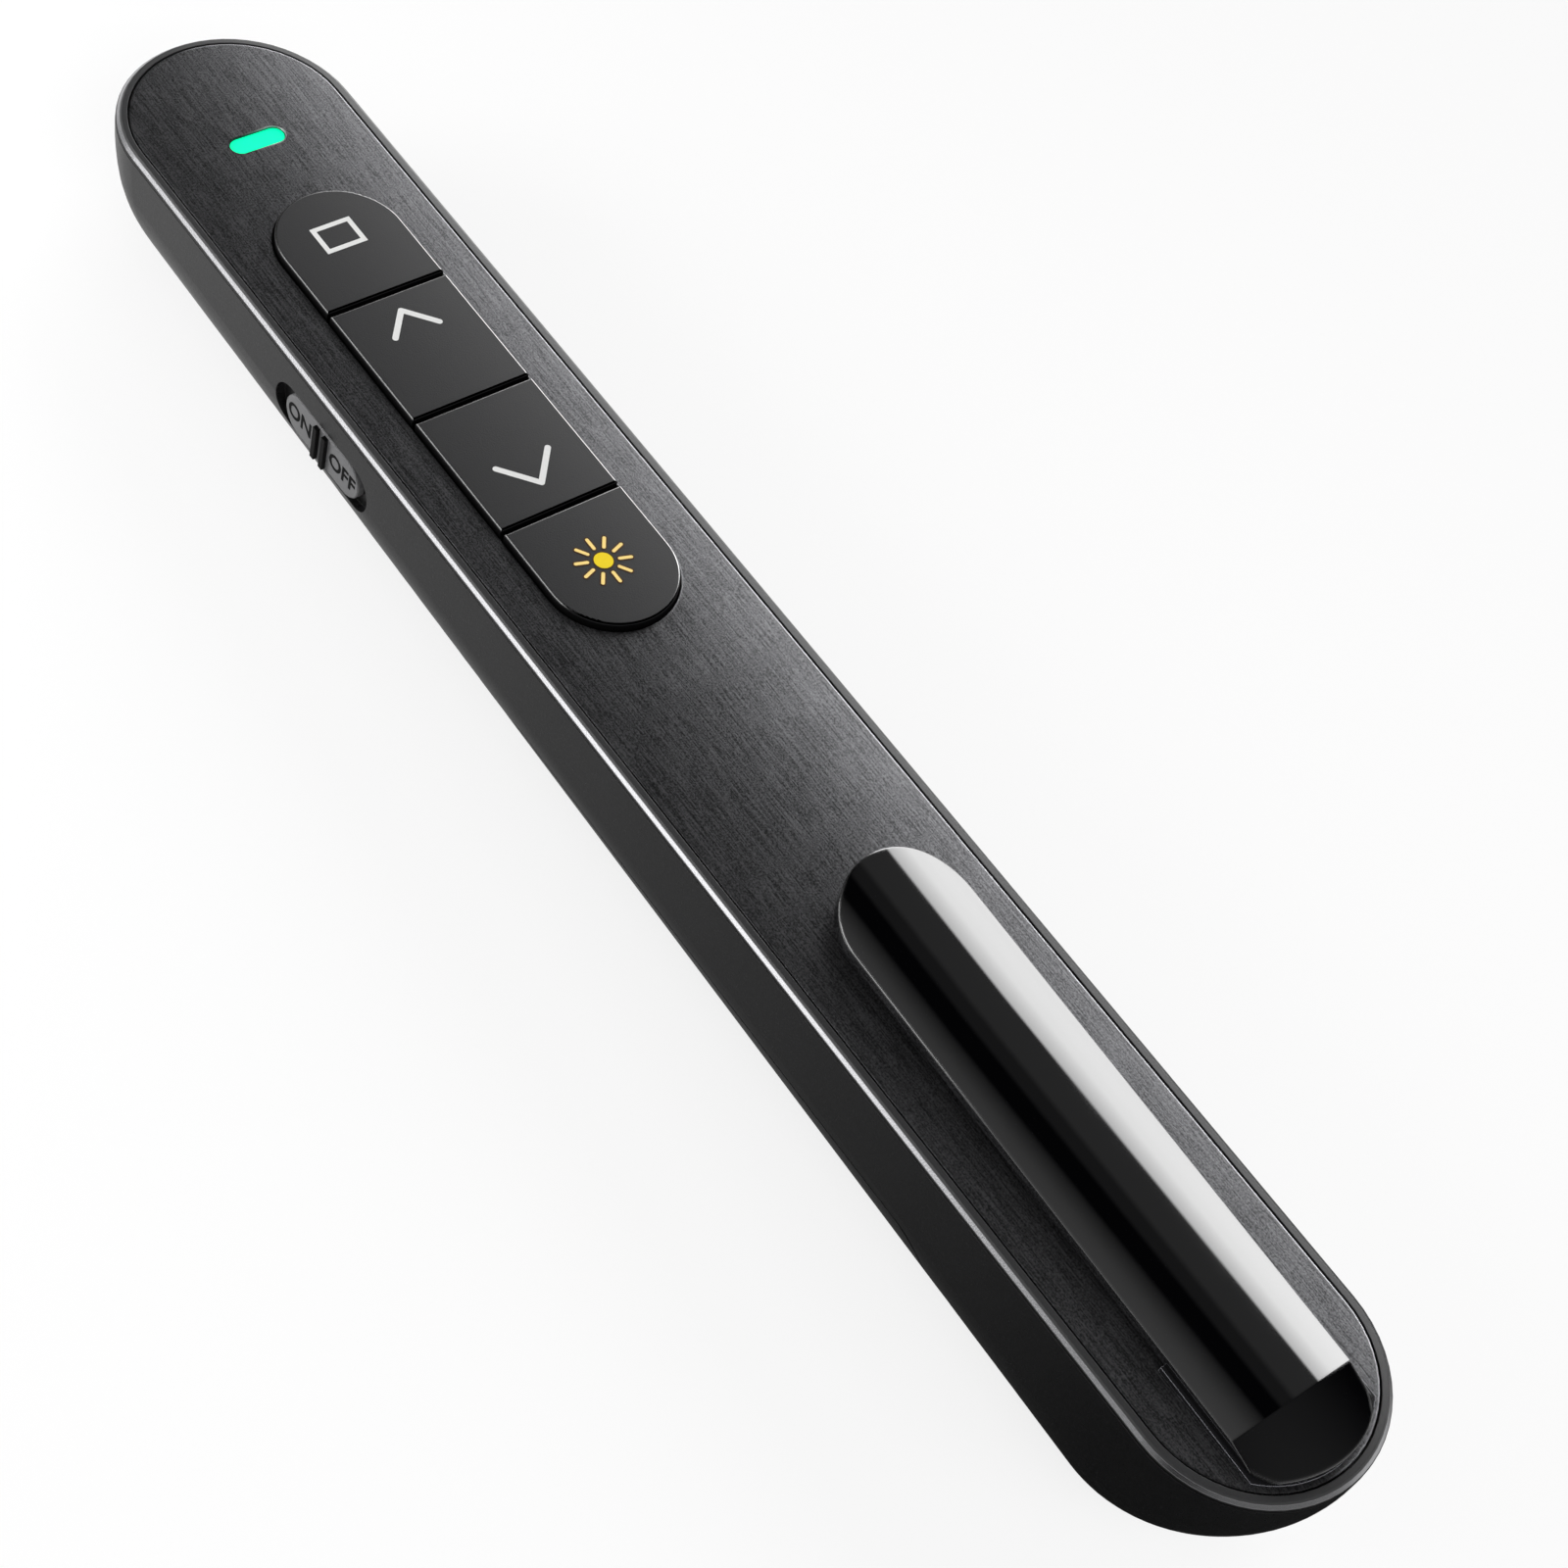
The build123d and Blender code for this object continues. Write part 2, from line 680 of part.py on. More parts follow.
with BuildPart() as on_off_slider:
    with BuildSketch(along(thumb_face, switch_depth)):
        with Locations((switch_y, 0)):
            SlotOverall(thumb_length, thumb_height)
    extrude(amount=thumb_thickness)
    fillet(on_off_slider.edges().group_by(Axis.X)[0], fit_gap * 1.5)
    with BuildSketch(along(thumb_face - ridge_stand, switch_depth)):
        with Locations((switch_y, 0)):
            with GridLocations(ridge_spacing, 0, 2, 1):
                Rectangle(ridge_thickness, ridge_height)
    extrude(amount=ridge_stand + thumb_thickness / 2)
    with BuildSketch(along(thumb_back - thumb_thickness / 2, switch_depth)):
        with Locations((switch_y, 0)):
            Rectangle(neck_length, neck_height)
    extrude(amount=keeper_face - thumb_back + thumb_thickness / 2)
    with BuildSketch(along(keeper_face, switch_depth)):
        with Locations((switch_y, 0)):
            Rectangle(keeper_length, keeper_height)
    extrude(amount=keeper_thickness)
    with BuildSketch(along(keeper_back, switch_depth)):
        with Locations((switch_y, 0)):
            with GridLocations(lever_length + 2 * glue_gap + prong_thickness, 0, 2, 1):
                Rectangle(prong_thickness, lever_height)
    extrude(amount=prong_thickness)
on_off_slider.part.label = "on_off_slider"
export_step(on_off_slider.part, "parts/on_off_slider.step")

with BuildPart() as switch_lever:
    with BuildSketch(along(keeper_back + fit_gap, switch_depth)):
        with Locations((switch_y, 0)):
            Rectangle(lever_length, lever_height)
    extrude(amount=lever_reach)
switch_lever.part.label = "switch_lever"
export_step(switch_lever.part, "parts/switch_lever.step")

with BuildPart() as slide_switch:
    with BuildSketch(deck.offset(-board_foot)):
        with Locations(((switch_face + switch_back) / 2, switch_y)):
            Rectangle(switch_body_width, switch_body_length)
    extrude(amount=-switch_body_height)
    with BuildSketch(along(switch_face, switch_depth)):
        with Locations((switch_y, 0)):
            Rectangle(lever_length + 2 * switch_throw + 2 * slide_gap, lever_height + 2 * fit_gap)
    extrude(amount=lever_reach, mode=Mode.SUBTRACT)
slide_switch.part.label = "slide_switch"
export_step(slide_switch.part, "parts/slide_switch.step")

# ---------------------------------------------------------------------------------------------
# Laser
# ---------------------------------------------------------------------------------------------

with BuildPart() as laser_barrel:
    with BuildSketch(across(barrel_front, barrel_depth)):
        Circle(barrel_radius)
    extrude(amount=barrel_length)
    with BuildSketch(across(barrel_front, barrel_depth)):
        Circle(lens_radius + glue_gap)
    extrude(amount=3 * lens_thickness, mode=Mode.SUBTRACT)
    with BuildSketch(across(barrel_front, barrel_depth)):
        Circle(lens_radius / 2)
    extrude(amount=barrel_length, mode=Mode.SUBTRACT)
    with BuildSketch(across(barrel_front - barrel_length + diode_can_length, barrel_depth)):
        Circle(lens_radius + glue_gap)
    extrude(amount=diode_can_length, mode=Mode.SUBTRACT)
laser_barrel.part.label = "laser_barrel"
export_step(laser_barrel.part, "parts/laser_barrel.step")

with BuildPart() as laser_lens:
    with BuildSketch(across(barrel_front - lens_thickness, barrel_depth)):
        Circle(lens_radius)
    extrude(amount=lens_thickness)
laser_lens.part.label = "laser_lens"
export_step(laser_lens.part, "parts/laser_lens.step")

with BuildPart() as laser_diode:
    with BuildSketch(across(barrel_front - barrel_length + diode_can_length - fit_gap, barrel_depth)):
        Circle(lens_radius)
    extrude(amount=diode_can_length)
laser_diode.part.label = "laser_diode"
export_step(laser_diode.part, "parts/laser_diode.step")

bore_z = body_height - barrel_depth - half_length * tan(tilt)
window_face = half_length - edge_inset(bore_z - laser_bore, head_run, head_rise) - window_setback
with BuildPart() as laser_window:
    with BuildSketch(across(window_face, barrel_depth)):
        Circle(laser_bore - glue_gap / 2)
    extrude(amount=window_thickness)
laser_window.part.label = "laser_window"
export_step(laser_window.part, "parts/laser_window.step")

# ---------------------------------------------------------------------------------------------
# Battery and its contacts
# ---------------------------------------------------------------------------------------------

with BuildPart() as battery:
    with BuildSketch(Plane.XZ.offset(-cell_tail)):
        with Locations((0, cell_z)):
            Circle(cell_radius)
    extrude(amount=-(cell_length - nub_length))
    chamfer(battery.edges(), 4 * fit_gap)
    with BuildSketch(Plane.XZ.offset(-(cell_head - nub_length))):
        with Locations((0, cell_z)):
            Circle(nub_radius)
    extrude(amount=-nub_length)
battery.part.label = "battery"
export_step(battery.part, "parts/battery.step")

with BuildPart() as plus_contact:
    with BuildSketch(Plane.XZ.offset(-(bay_head - contact_thickness))):
        with Locations((0, cell_z)):
            Rectangle(contact_width, contact_height)
    extrude(amount=-contact_thickness)
    with BuildSketch(Plane.XZ.offset(-(bay_head - contact_thickness))):
        with Locations((0, cell_z)):
            Circle(nub_radius)
    extrude(amount=contact_bump, taper=30)
plus_contact.part.label = "plus_contact"
export_step(plus_contact.part, "parts/plus_contact.step")

with BuildPart() as minus_contact:
    with BuildSketch(Plane.XZ.offset(-bay_tail)):
        with Locations((0, cell_z)):
            Rectangle(contact_width, contact_height)
    extrude(amount=-contact_thickness)
minus_contact.part.label = "minus_contact"
export_step(minus_contact.part, "parts/minus_contact.step")

coil_pitch = (spring_length - 2 * spring_wire) / spring_turns
with BuildPart() as battery_spring:
    with BuildLine() as spring_line:
        Helix(
            pitch=coil_pitch,
            height=coil_pitch * spring_turns,
            radius=spring_radius,
            center=(0, door_tail + spring_wire, cell_z),
            direction=(0, 1, 0),
        )
    with BuildSketch(Plane(origin=spring_line.line @ 0, z_dir=spring_line.line % 0)):
        RegularPolygon(spring_wire / 2, 6)
    sweep(is_frenet=True)
battery_spring.part.label = "battery_spring"
export_step(battery_spring.part, "parts/battery_spring.step")

with BuildPart() as battery_door:
    add(door_block(0))
    add(body_bar(), mode=Mode.INTERSECT)
    add(body_bar(wall), mode=Mode.SUBTRACT)
    # tongues that hook inside the shell at the head, and the latch at the tail
    with BuildSketch(Plane.YZ.offset(-tongue_x - tongue_width / 2)) as tongue_profile:
        with BuildLine():
            riser = door_hinge_y - fit_gap
            shelf = wall + slide_gap
            Polyline(
                (riser - tongue_thickness, wall / 2),
                (riser - tongue_thickness, shelf + tongue_thickness),
                (riser + tongue_reach, shelf + tongue_thickness),
                (riser + tongue_reach, shelf),
                (riser, shelf),
                (riser, wall / 2),
                close=True,
            )
        make_face()
    extrude(amount=tongue_width)
    mirror(battery_door.part.solids()[0], about=Plane.YZ)
    with BuildSketch(Plane.YZ.offset(-latch_width / 2)):
        with Locations((door_tail + glue_gap, wall / 2)):
            Rectangle(latch_thickness, latch_height - wall / 2, align=(Align.MIN, Align.MIN))
    extrude(amount=latch_width)
    # thumb grip
    with BuildSketch(Plane.XY):
        with Locations((0, door_tail + grip_pitch * (grip_count + 1) / 2)):
            with GridLocations(0, grip_pitch, 1, grip_count):
                SlotOverall(grip_length, grip_width)
    extrude(amount=grip_depth, mode=Mode.SUBTRACT)
battery_door.part.label = "battery_door"
export_step(battery_door.part, "parts/battery_door.step")

# ---------------------------------------------------------------------------------------------
# Screws
# ---------------------------------------------------------------------------------------------


def screws(places, head_depth, length):
    """Cross-head screws driven from the back, with the heads' upper faces at a depth."""
    with BuildPart() as pieces:
        with BuildSketch(deck.offset(-head_depth)):
            with Locations(*places):
                Circle(screw_head_radius)
        extrude(amount=-screw_head_height)
        with BuildSketch(deck.offset(-head_depth)):
            with Locations(*places):
                Circle(screw_radius)
        extrude(amount=length)
        with BuildSketch(deck.offset(-head_depth - screw_head_height)):
            with Locations(*places):
                Rectangle(1.3 * screw_head_radius, screw_slot)
                Rectangle(screw_slot, 1.3 * screw_head_radius)
        extrude(amount=screw_head_height / 2, mode=Mode.SUBTRACT)
    return pieces.part


case_screws = screws(boss_places, screw_seat + glue_gap, screw_length)
case_screws.label = "case_screws"
export_step(case_screws, "parts/case_screws.step")

board_screws = screws(board_screw_places, board_foot + glue_gap, board_screw_length)
board_screws.label = "board_screws"
export_step(board_screws, "parts/board_screws.step")

# ---------------------------------------------------------------------------------------------
# USB receiver
# ---------------------------------------------------------------------------------------------

with BuildPart() as receiver_cap:
    with BuildSketch(Plane.XY):
        with Locations((0, -half_length)):
            Rectangle(cap_width, cap_skin_length, align=(Align.CENTER, Align.MIN))
    extrude(amount=cap_height)
    add(body_form(), mode=Mode.INTERSECT)
    with BuildSketch(Plane.XY.offset(strip_foot)):
        with Locations((0, skin_head - wall)):
            Rectangle(strip_width, cap_head - skin_head + wall, align=(Align.CENTER, Align.MIN))
    extrude(amount=cap_height - strip_foot)
    # fingernail notch in the back, just behind the skin's edge
    with BuildSketch(Plane.XY):
        with Locations((0, skin_head - notch_width)):
            Ellipse(notch_length / 2, notch_width / 2)
    extrude(amount=notch_depth, taper=20, mode=Mode.SUBTRACT)
    # seat of the plug, and the pocket of its board behind it
    with BuildSketch(Plane.XZ.offset(-cap_head)):
        with Locations((0, plug_z)):
            Rectangle(plug_width + 2 * glue_gap, plug_height + 2 * glue_gap)
    extrude(amount=plug_seat, mode=Mode.SUBTRACT)
    with BuildSketch(Plane.XZ.offset(-(cap_head - plug_seat))):
        with Locations((0, plug_foot + plug_sheet)):
            Rectangle(radio_board_width + 2 * fit_gap, plug_height - 2 * plug_sheet,
                      align=(Align.CENTER, Align.MIN))
    extrude(amount=radio_board_length + glue_gap, mode=Mode.SUBTRACT)
receiver_cap.part.label = "receiver_cap"
export_step(receiver_cap.part, "parts/receiver_cap.step")

plug_root = cap_head - plug_seat + glue_gap
plug_span = plug_tip - plug_root
with BuildPart() as receiver_plug:
    with BuildSketch(Plane.XZ.offset(-plug_root)):
        with Locations((0, plug_z)):
            RectangleRounded(plug_width, plug_height, plug_sheet)
            Rectangle(plug_width - 2 * plug_sheet, plug_height - 2 * plug_sheet, mode=Mode.SUBTRACT)
    extrude(amount=-plug_span)
    with BuildSketch(Plane.XY):
        with Locations((0, plug_tip - window_from_tip)):
            with GridLocations(window_spacing, 0, 2, 1):
                Rectangle(window_size, window_size)
    extrude(amount=body_height, mode=Mode.SUBTRACT)
receiver_plug.part.label = "receiver_plug"
export_step(receiver_plug.part, "parts/receiver_plug.step")

insert_foot = plug_foot + plug_sheet + glue_gap
insert_top = insert_foot + insert_height
insert_root = plug_root + glue_gap
insert_tip = plug_tip - plug_sheet
with BuildPart() as receiver_tongue:
    with BuildSketch(Plane.XZ.offset(-insert_root)):
        with Locations((0, insert_foot)):
            Rectangle(plug_width - 2 * plug_sheet - 2 * glue_gap, insert_height,
                      align=(Align.CENTER, Align.MIN))
    extrude(amount=-(insert_tip - insert_root))
receiver_tongue.part.label = "receiver_tongue"
export_step(receiver_tongue.part, "parts/receiver_tongue.step")

with BuildPart() as receiver_contacts:
    with BuildSketch(Plane.XY.offset(insert_top)):
        with Locations((0, (insert_root + insert_tip) / 2)):
            with GridLocations(contact_pitch, 0, contact_count, 1):
                Rectangle(contact_strip, insert_tip - insert_root - 2 * contact_strip)
    extrude(amount=contact_sheet)
receiver_contacts.part.label = "receiver_contacts"
export_step(receiver_contacts.part, "parts/receiver_contacts.step")

radio_head = plug_root - glue_gap
with BuildPart() as receiver_board:
    with BuildSketch(Plane.XY.offset(insert_foot)):
        with Locations((0, radio_head)):
            Rectangle(radio_board_width, radio_board_length, align=(Align.CENTER, Align.MAX))
    extrude(amount=radio_board_thickness)
receiver_board.part.label = "receiver_board"
export_step(receiver_board.part, "parts/receiver_board.step")

with BuildPart() as receiver_chip:
    with BuildSketch(Plane.XY.offset(insert_foot + radio_board_thickness)):
        with Locations((0, radio_head - radio_board_length / 2)):
            Rectangle(radio_chip_size, radio_chip_size)
    extrude(amount=radio_chip_height)
receiver_chip.part.label = "receiver_chip"
export_step(receiver_chip.part, "parts/receiver_chip.step")

# ---------------------------------------------------------------------------------------------
# Pocket clip
# ---------------------------------------------------------------------------------------------

tail_y = deck.from_local_coords(Vector(0, plate_tail, 0)).Y
tail_z = deck.from_local_coords(Vector(0, plate_tail, 0)).Z
clip_tip = -half_length + clip_length
clip_edge_height = tail_z + clip_edge_rise
pin_height = tail_z + pin_rise
arc_y = tail_y + plate_width / 2
arc_radius = plate_width / 2 - plate_margin
pin_y = tail_y + pin_from_tail
bend_y = tail_y + clip_bend
clip_foot = clip_edge_height - clip_edge
foot_top = clip_foot - foot_gap
crown_top = clip_edge_height + clip_crown
crown_radius = (clip_half_width**2 + clip_crown**2) / (2 * clip_crown)
bend_run = clip_bend + plate_margin
dome_lift = (pin_from_tail + wall) * tan(radians(clip_open))


def arched_bar(half, roof):
    """A bar under the clip's arch, lowered by a roof, that bends down over the tail."""
    top = crown_top - roof
    edge = crown_top - crown_radius + sqrt((crown_radius - roof) ** 2 - half**2)
    with BuildPart() as bar:
        with BuildLine() as spine:
            Polyline(
                (0, clip_tip, top),
                (0, bend_y, top),
                (0, bend_y - bend_run, top - clip_dome_drop),
            )
        with BuildSketch(Plane.XZ.offset(-clip_tip)):
            with BuildLine():
                arch = ThreePointArc((-half, edge), (0, top), (half, edge))
                Polyline(arch @ 1, (half, body_height), (-half, body_height), arch @ 0)
            make_face()
        sweep(path=spine.line, transition=Transition.RIGHT)
    return bar.part


def clip_plan(half, inset, top):
    """The clip's outline from the front: a round free tip, and a tail that follows the plate."""
    with BuildPart() as plan:
        with BuildSketch(Plane.XY):
            with Locations((0, arc_y)):
                Circle(arc_radius - inset)
            with Locations((0, clip_tip - clip_half_width)):
                Rectangle(2 * half, clip_tip - clip_half_width - arc_y, align=(Align.CENTER, Align.MAX))
                Circle(clip_half_width - inset)
            with Locations((0, (clip_tip + tail_y) / 2)):
                Rectangle(2 * half, body_length, mode=Mode.INTERSECT)
        extrude(amount=top)
    return plan.part


lug_inner = ear_outer + slide_gap
with BuildPart() as clip_hollow:
    add(arched_bar(clip_half_width - clip_cheek, clip_roof))
    add(clip_plan(clip_half_width - clip_cheek, clip_cheek, 2 * body_height), mode=Mode.INTERSECT)
    with BuildSketch(Plane.XY):
        with Locations((0, (clip_tip + pin_y) / 2)):
            with GridLocations(0, clip_rib_pitch, 1, clip_rib_count):
                Rectangle(body_width, clip_rib)
        with Locations((0, pin_y)):
            Rectangle(body_width, 2 * lug_half_length)
            Rectangle(2 * lug_inner, 2 * lug_half_length, mode=Mode.SUBTRACT)
    extrude(amount=2 * body_height, mode=Mode.SUBTRACT)

with BuildPart() as clip_blade:
    add(arched_bar(clip_half_width, 0))
    add(clip_plan(clip_half_width, 0, 2 * body_height), mode=Mode.INTERSECT)
    rim = [
        edge
        for edge in clip_blade.edges()
        if edge.center().Z > clip_foot and abs(edge.center().Y - bend_y) > clip_round
    ]
    fillet(rim, clip_round)
    add(clip_hollow.part, mode=Mode.SUBTRACT)
    # flat underside that rises towards the tail, so that the clip can open
    with BuildSketch(Plane.YZ.offset(-half_width)):
        with BuildLine():
            Polyline(
                (clip_tip + wall, 0),
                (clip_tip + wall, clip_foot),
                (pin_y, clip_foot),
                (tail_y - wall, clip_foot + dome_lift),
                (tail_y - wall, 0),
                close=True,
            )
        make_face()
    extrude(amount=body_width, mode=Mode.SUBTRACT)
    with BuildSketch(Plane.YZ.offset(-pin_half_length - glue_gap)):
        with Locations((pin_y, pin_height)):
            Circle(pin_radius + pin_fit)
    extrude(amount=2 * (pin_half_length + glue_gap), mode=Mode.SUBTRACT)
clip_blade.part.label = "clip_blade"
export_step(clip_blade.part, "parts/clip_blade.step")

with BuildPart() as clip_base:
    with BuildSketch(deck):
        with Locations((0, plate_tail + plate_width / 2)):
            Circle(arc_radius)
        with Locations((0, plate_tail + foot_length)):
            Rectangle(2 * foot_half_width, foot_length - plate_width / 2, align=(Align.CENTER, Align.MAX))
        with Locations((0, plate_tail)):
            Rectangle(2 * foot_half_width, 2 * foot_length, mode=Mode.INTERSECT)
    extrude(amount=body_height)
    split(bisect_by=Plane.XY.offset(foot_top), keep=Keep.BOTTOM)
    for side in (-1, 1):
        with BuildSketch(Plane.YZ.offset(side * (ear_inner + ear_outer) / 2)):
            with Locations((pin_y, pin_height)):
                Circle(ear_radius)
                Rectangle(2 * ear_radius, pin_height - foot_top + foot_gap, align=(Align.CENTER, Align.MAX))
        extrude(amount=(ear_outer - ear_inner) / 2, both=True)
    with BuildSketch(Plane.YZ.offset(-half_width)):
        with Locations((pin_y, pin_height)):
            Circle(pin_radius + glue_gap / 2)
    extrude(amount=body_width, mode=Mode.SUBTRACT)
    with BuildSketch(deck):
        with Locations(*stud_places):
            Circle(stud_radius)
    extrude(amount=-(frame_depth + glue_gap))
    with BuildSketch(deck.offset(-frame_depth - glue_gap)):
        with Locations(*stud_places):
            Circle(stud_head_radius)
    extrude(amount=-stud_head_height, taper=30)
clip_base.part.label = "clip_base"
export_step(clip_base.part, "parts/clip_base.step")

with BuildPart() as clip_pin:
    with BuildSketch(Plane.YZ.offset(-pin_half_length)):
        with Locations((pin_y, pin_height)):
            Circle(pin_radius)
    extrude(amount=2 * pin_half_length)
clip_pin.part.label = "clip_pin"
export_step(clip_pin.part, "parts/clip_pin.step")

# torsion spring on the pin, between the foot's ears: one leg on the foot, one under the dome
coil_half = 0.75 * (ear_inner - coil_wire)
with BuildPart() as clip_spring:
    with BuildLine() as coil_line:
        Helix(
            pitch=2 * coil_half / coil_turns,
            height=2 * coil_half,
            radius=coil_radius,
            center=(-coil_half, pin_y, pin_height),
            direction=(1, 0, 0),
            lefthand=True,
        )
    upper = coil_line.line @ 0
    lower = coil_line.line @ 1
    with BuildSketch(Plane(origin=upper, z_dir=coil_line.line % 0)):
        RegularPolygon(coil_wire / 2, 6)
    sweep(is_frenet=True)
    for root, drop in ((upper, coil_wire), (lower, lower.Z - foot_top - coil_wire)):
        with BuildSketch(Plane(origin=root, z_dir=(0, -leg_length, -drop))):
            RegularPolygon(coil_wire / 2, 6)
        extrude(amount=leg_length)
clip_spring.part.label = "clip_spring"
export_step(clip_spring.part, "parts/clip_spring.step")
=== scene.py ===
"""The looks of a wireless presentation clicker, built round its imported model.

Everything is in metres, in the frame of the model: X across, +Y towards the laser end, +Z up.
"""
import json
import math

import bpy
from mathutils import Matrix, Vector

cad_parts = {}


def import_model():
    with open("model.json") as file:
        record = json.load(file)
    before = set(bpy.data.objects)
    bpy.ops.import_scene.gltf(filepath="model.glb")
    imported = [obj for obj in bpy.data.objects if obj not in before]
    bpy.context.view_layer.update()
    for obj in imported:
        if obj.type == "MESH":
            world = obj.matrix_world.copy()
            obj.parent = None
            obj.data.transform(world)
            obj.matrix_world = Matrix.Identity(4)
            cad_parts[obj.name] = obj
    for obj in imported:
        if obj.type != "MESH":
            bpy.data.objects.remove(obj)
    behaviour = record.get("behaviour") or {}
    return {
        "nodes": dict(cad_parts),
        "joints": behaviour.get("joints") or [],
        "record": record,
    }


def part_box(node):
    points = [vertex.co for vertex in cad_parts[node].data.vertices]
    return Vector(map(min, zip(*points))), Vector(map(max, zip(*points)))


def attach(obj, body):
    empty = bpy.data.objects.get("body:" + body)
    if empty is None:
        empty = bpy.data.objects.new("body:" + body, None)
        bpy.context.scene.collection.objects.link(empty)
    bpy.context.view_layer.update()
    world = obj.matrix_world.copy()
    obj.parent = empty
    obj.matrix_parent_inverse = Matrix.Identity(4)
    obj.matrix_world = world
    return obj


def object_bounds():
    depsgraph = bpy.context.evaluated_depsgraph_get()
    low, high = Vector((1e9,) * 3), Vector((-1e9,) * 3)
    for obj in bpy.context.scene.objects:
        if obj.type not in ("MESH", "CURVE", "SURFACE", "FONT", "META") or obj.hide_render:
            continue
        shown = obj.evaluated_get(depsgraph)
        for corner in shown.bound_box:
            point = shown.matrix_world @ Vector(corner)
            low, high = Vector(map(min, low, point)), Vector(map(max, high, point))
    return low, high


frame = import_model()
cad_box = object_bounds()

MM = 0.001
X, Y, Z = 0, 1, 2

# ---------------------------------------------------------------------------------------------
# Places worked out from the frame
# ---------------------------------------------------------------------------------------------


def joint_axis(name):
    """The direction of a joint's axis."""
    return next(Vector(j["axis"]) for j in frame["joints"] if j["name"] == name)


ACROSS = Vector((1, 0, 0))
DECK_UP = -joint_axis("screen_press").normalized()
DECK_HEAD = DECK_UP.cross(ACROSS).normalized()
RIDGE_STAND = 0.4 * MM  # how far the slider's two ridges stand out of its face


def span(node, direction):
    """How far a node reaches, backwards and forwards, along a direction."""
    reach = [corner.co.dot(direction) for corner in frame["nodes"][node].data.vertices]
    return min(reach), max(reach)


def middle(node, direction):
    """Half-way along a node's reach."""
    return sum(span(node, direction)) / 2


def frame_at(place, right, up):
    """A matrix that puts a flat drawing at a place, its x to the right and its y upwards."""
    out = right.cross(up)
    turned = Matrix((right, up, out)).transposed().to_4x4()
    return Matrix.Translation(place) @ turned


# ---------------------------------------------------------------------------------------------
# Node tools for the materials
# ---------------------------------------------------------------------------------------------


def feed(tree, socket, value):
    """Links an output to a socket, or sets the socket's own value."""
    if isinstance(value, bpy.types.NodeSocket):
        tree.links.new(value, socket)
    else:
        socket.default_value = value


def arithmetic(tree, operation, first, second):
    """One Math node."""
    made = tree.nodes.new("ShaderNodeMath")
    made.operation = operation
    feed(tree, made.inputs[0], first)
    feed(tree, made.inputs[1], second)
    return made.outputs["Value"]


def ranged(tree, value, low, high, to_low, to_high, steps="LINEAR"):
    """A value carried from one range to another, and held inside it."""
    made = tree.nodes.new("ShaderNodeMapRange")
    made.interpolation_type = steps
    tree.links.new(value, made.inputs["Value"])
    for name, number in zip(("From Min", "From Max", "To Min", "To Max"), (low, high, to_low, to_high)):
        made.inputs[name].default_value = number
    return made.outputs["Result"]


def color_socket(sockets, name):
    """The socket of a Mix node that has this name and holds a colour."""
    return next(s for s in sockets if s.name == name and s.type == "RGBA")


def shade(color, factor):
    """A colour made lighter or darker."""
    return tuple(min(1.0, part * factor) for part in color)


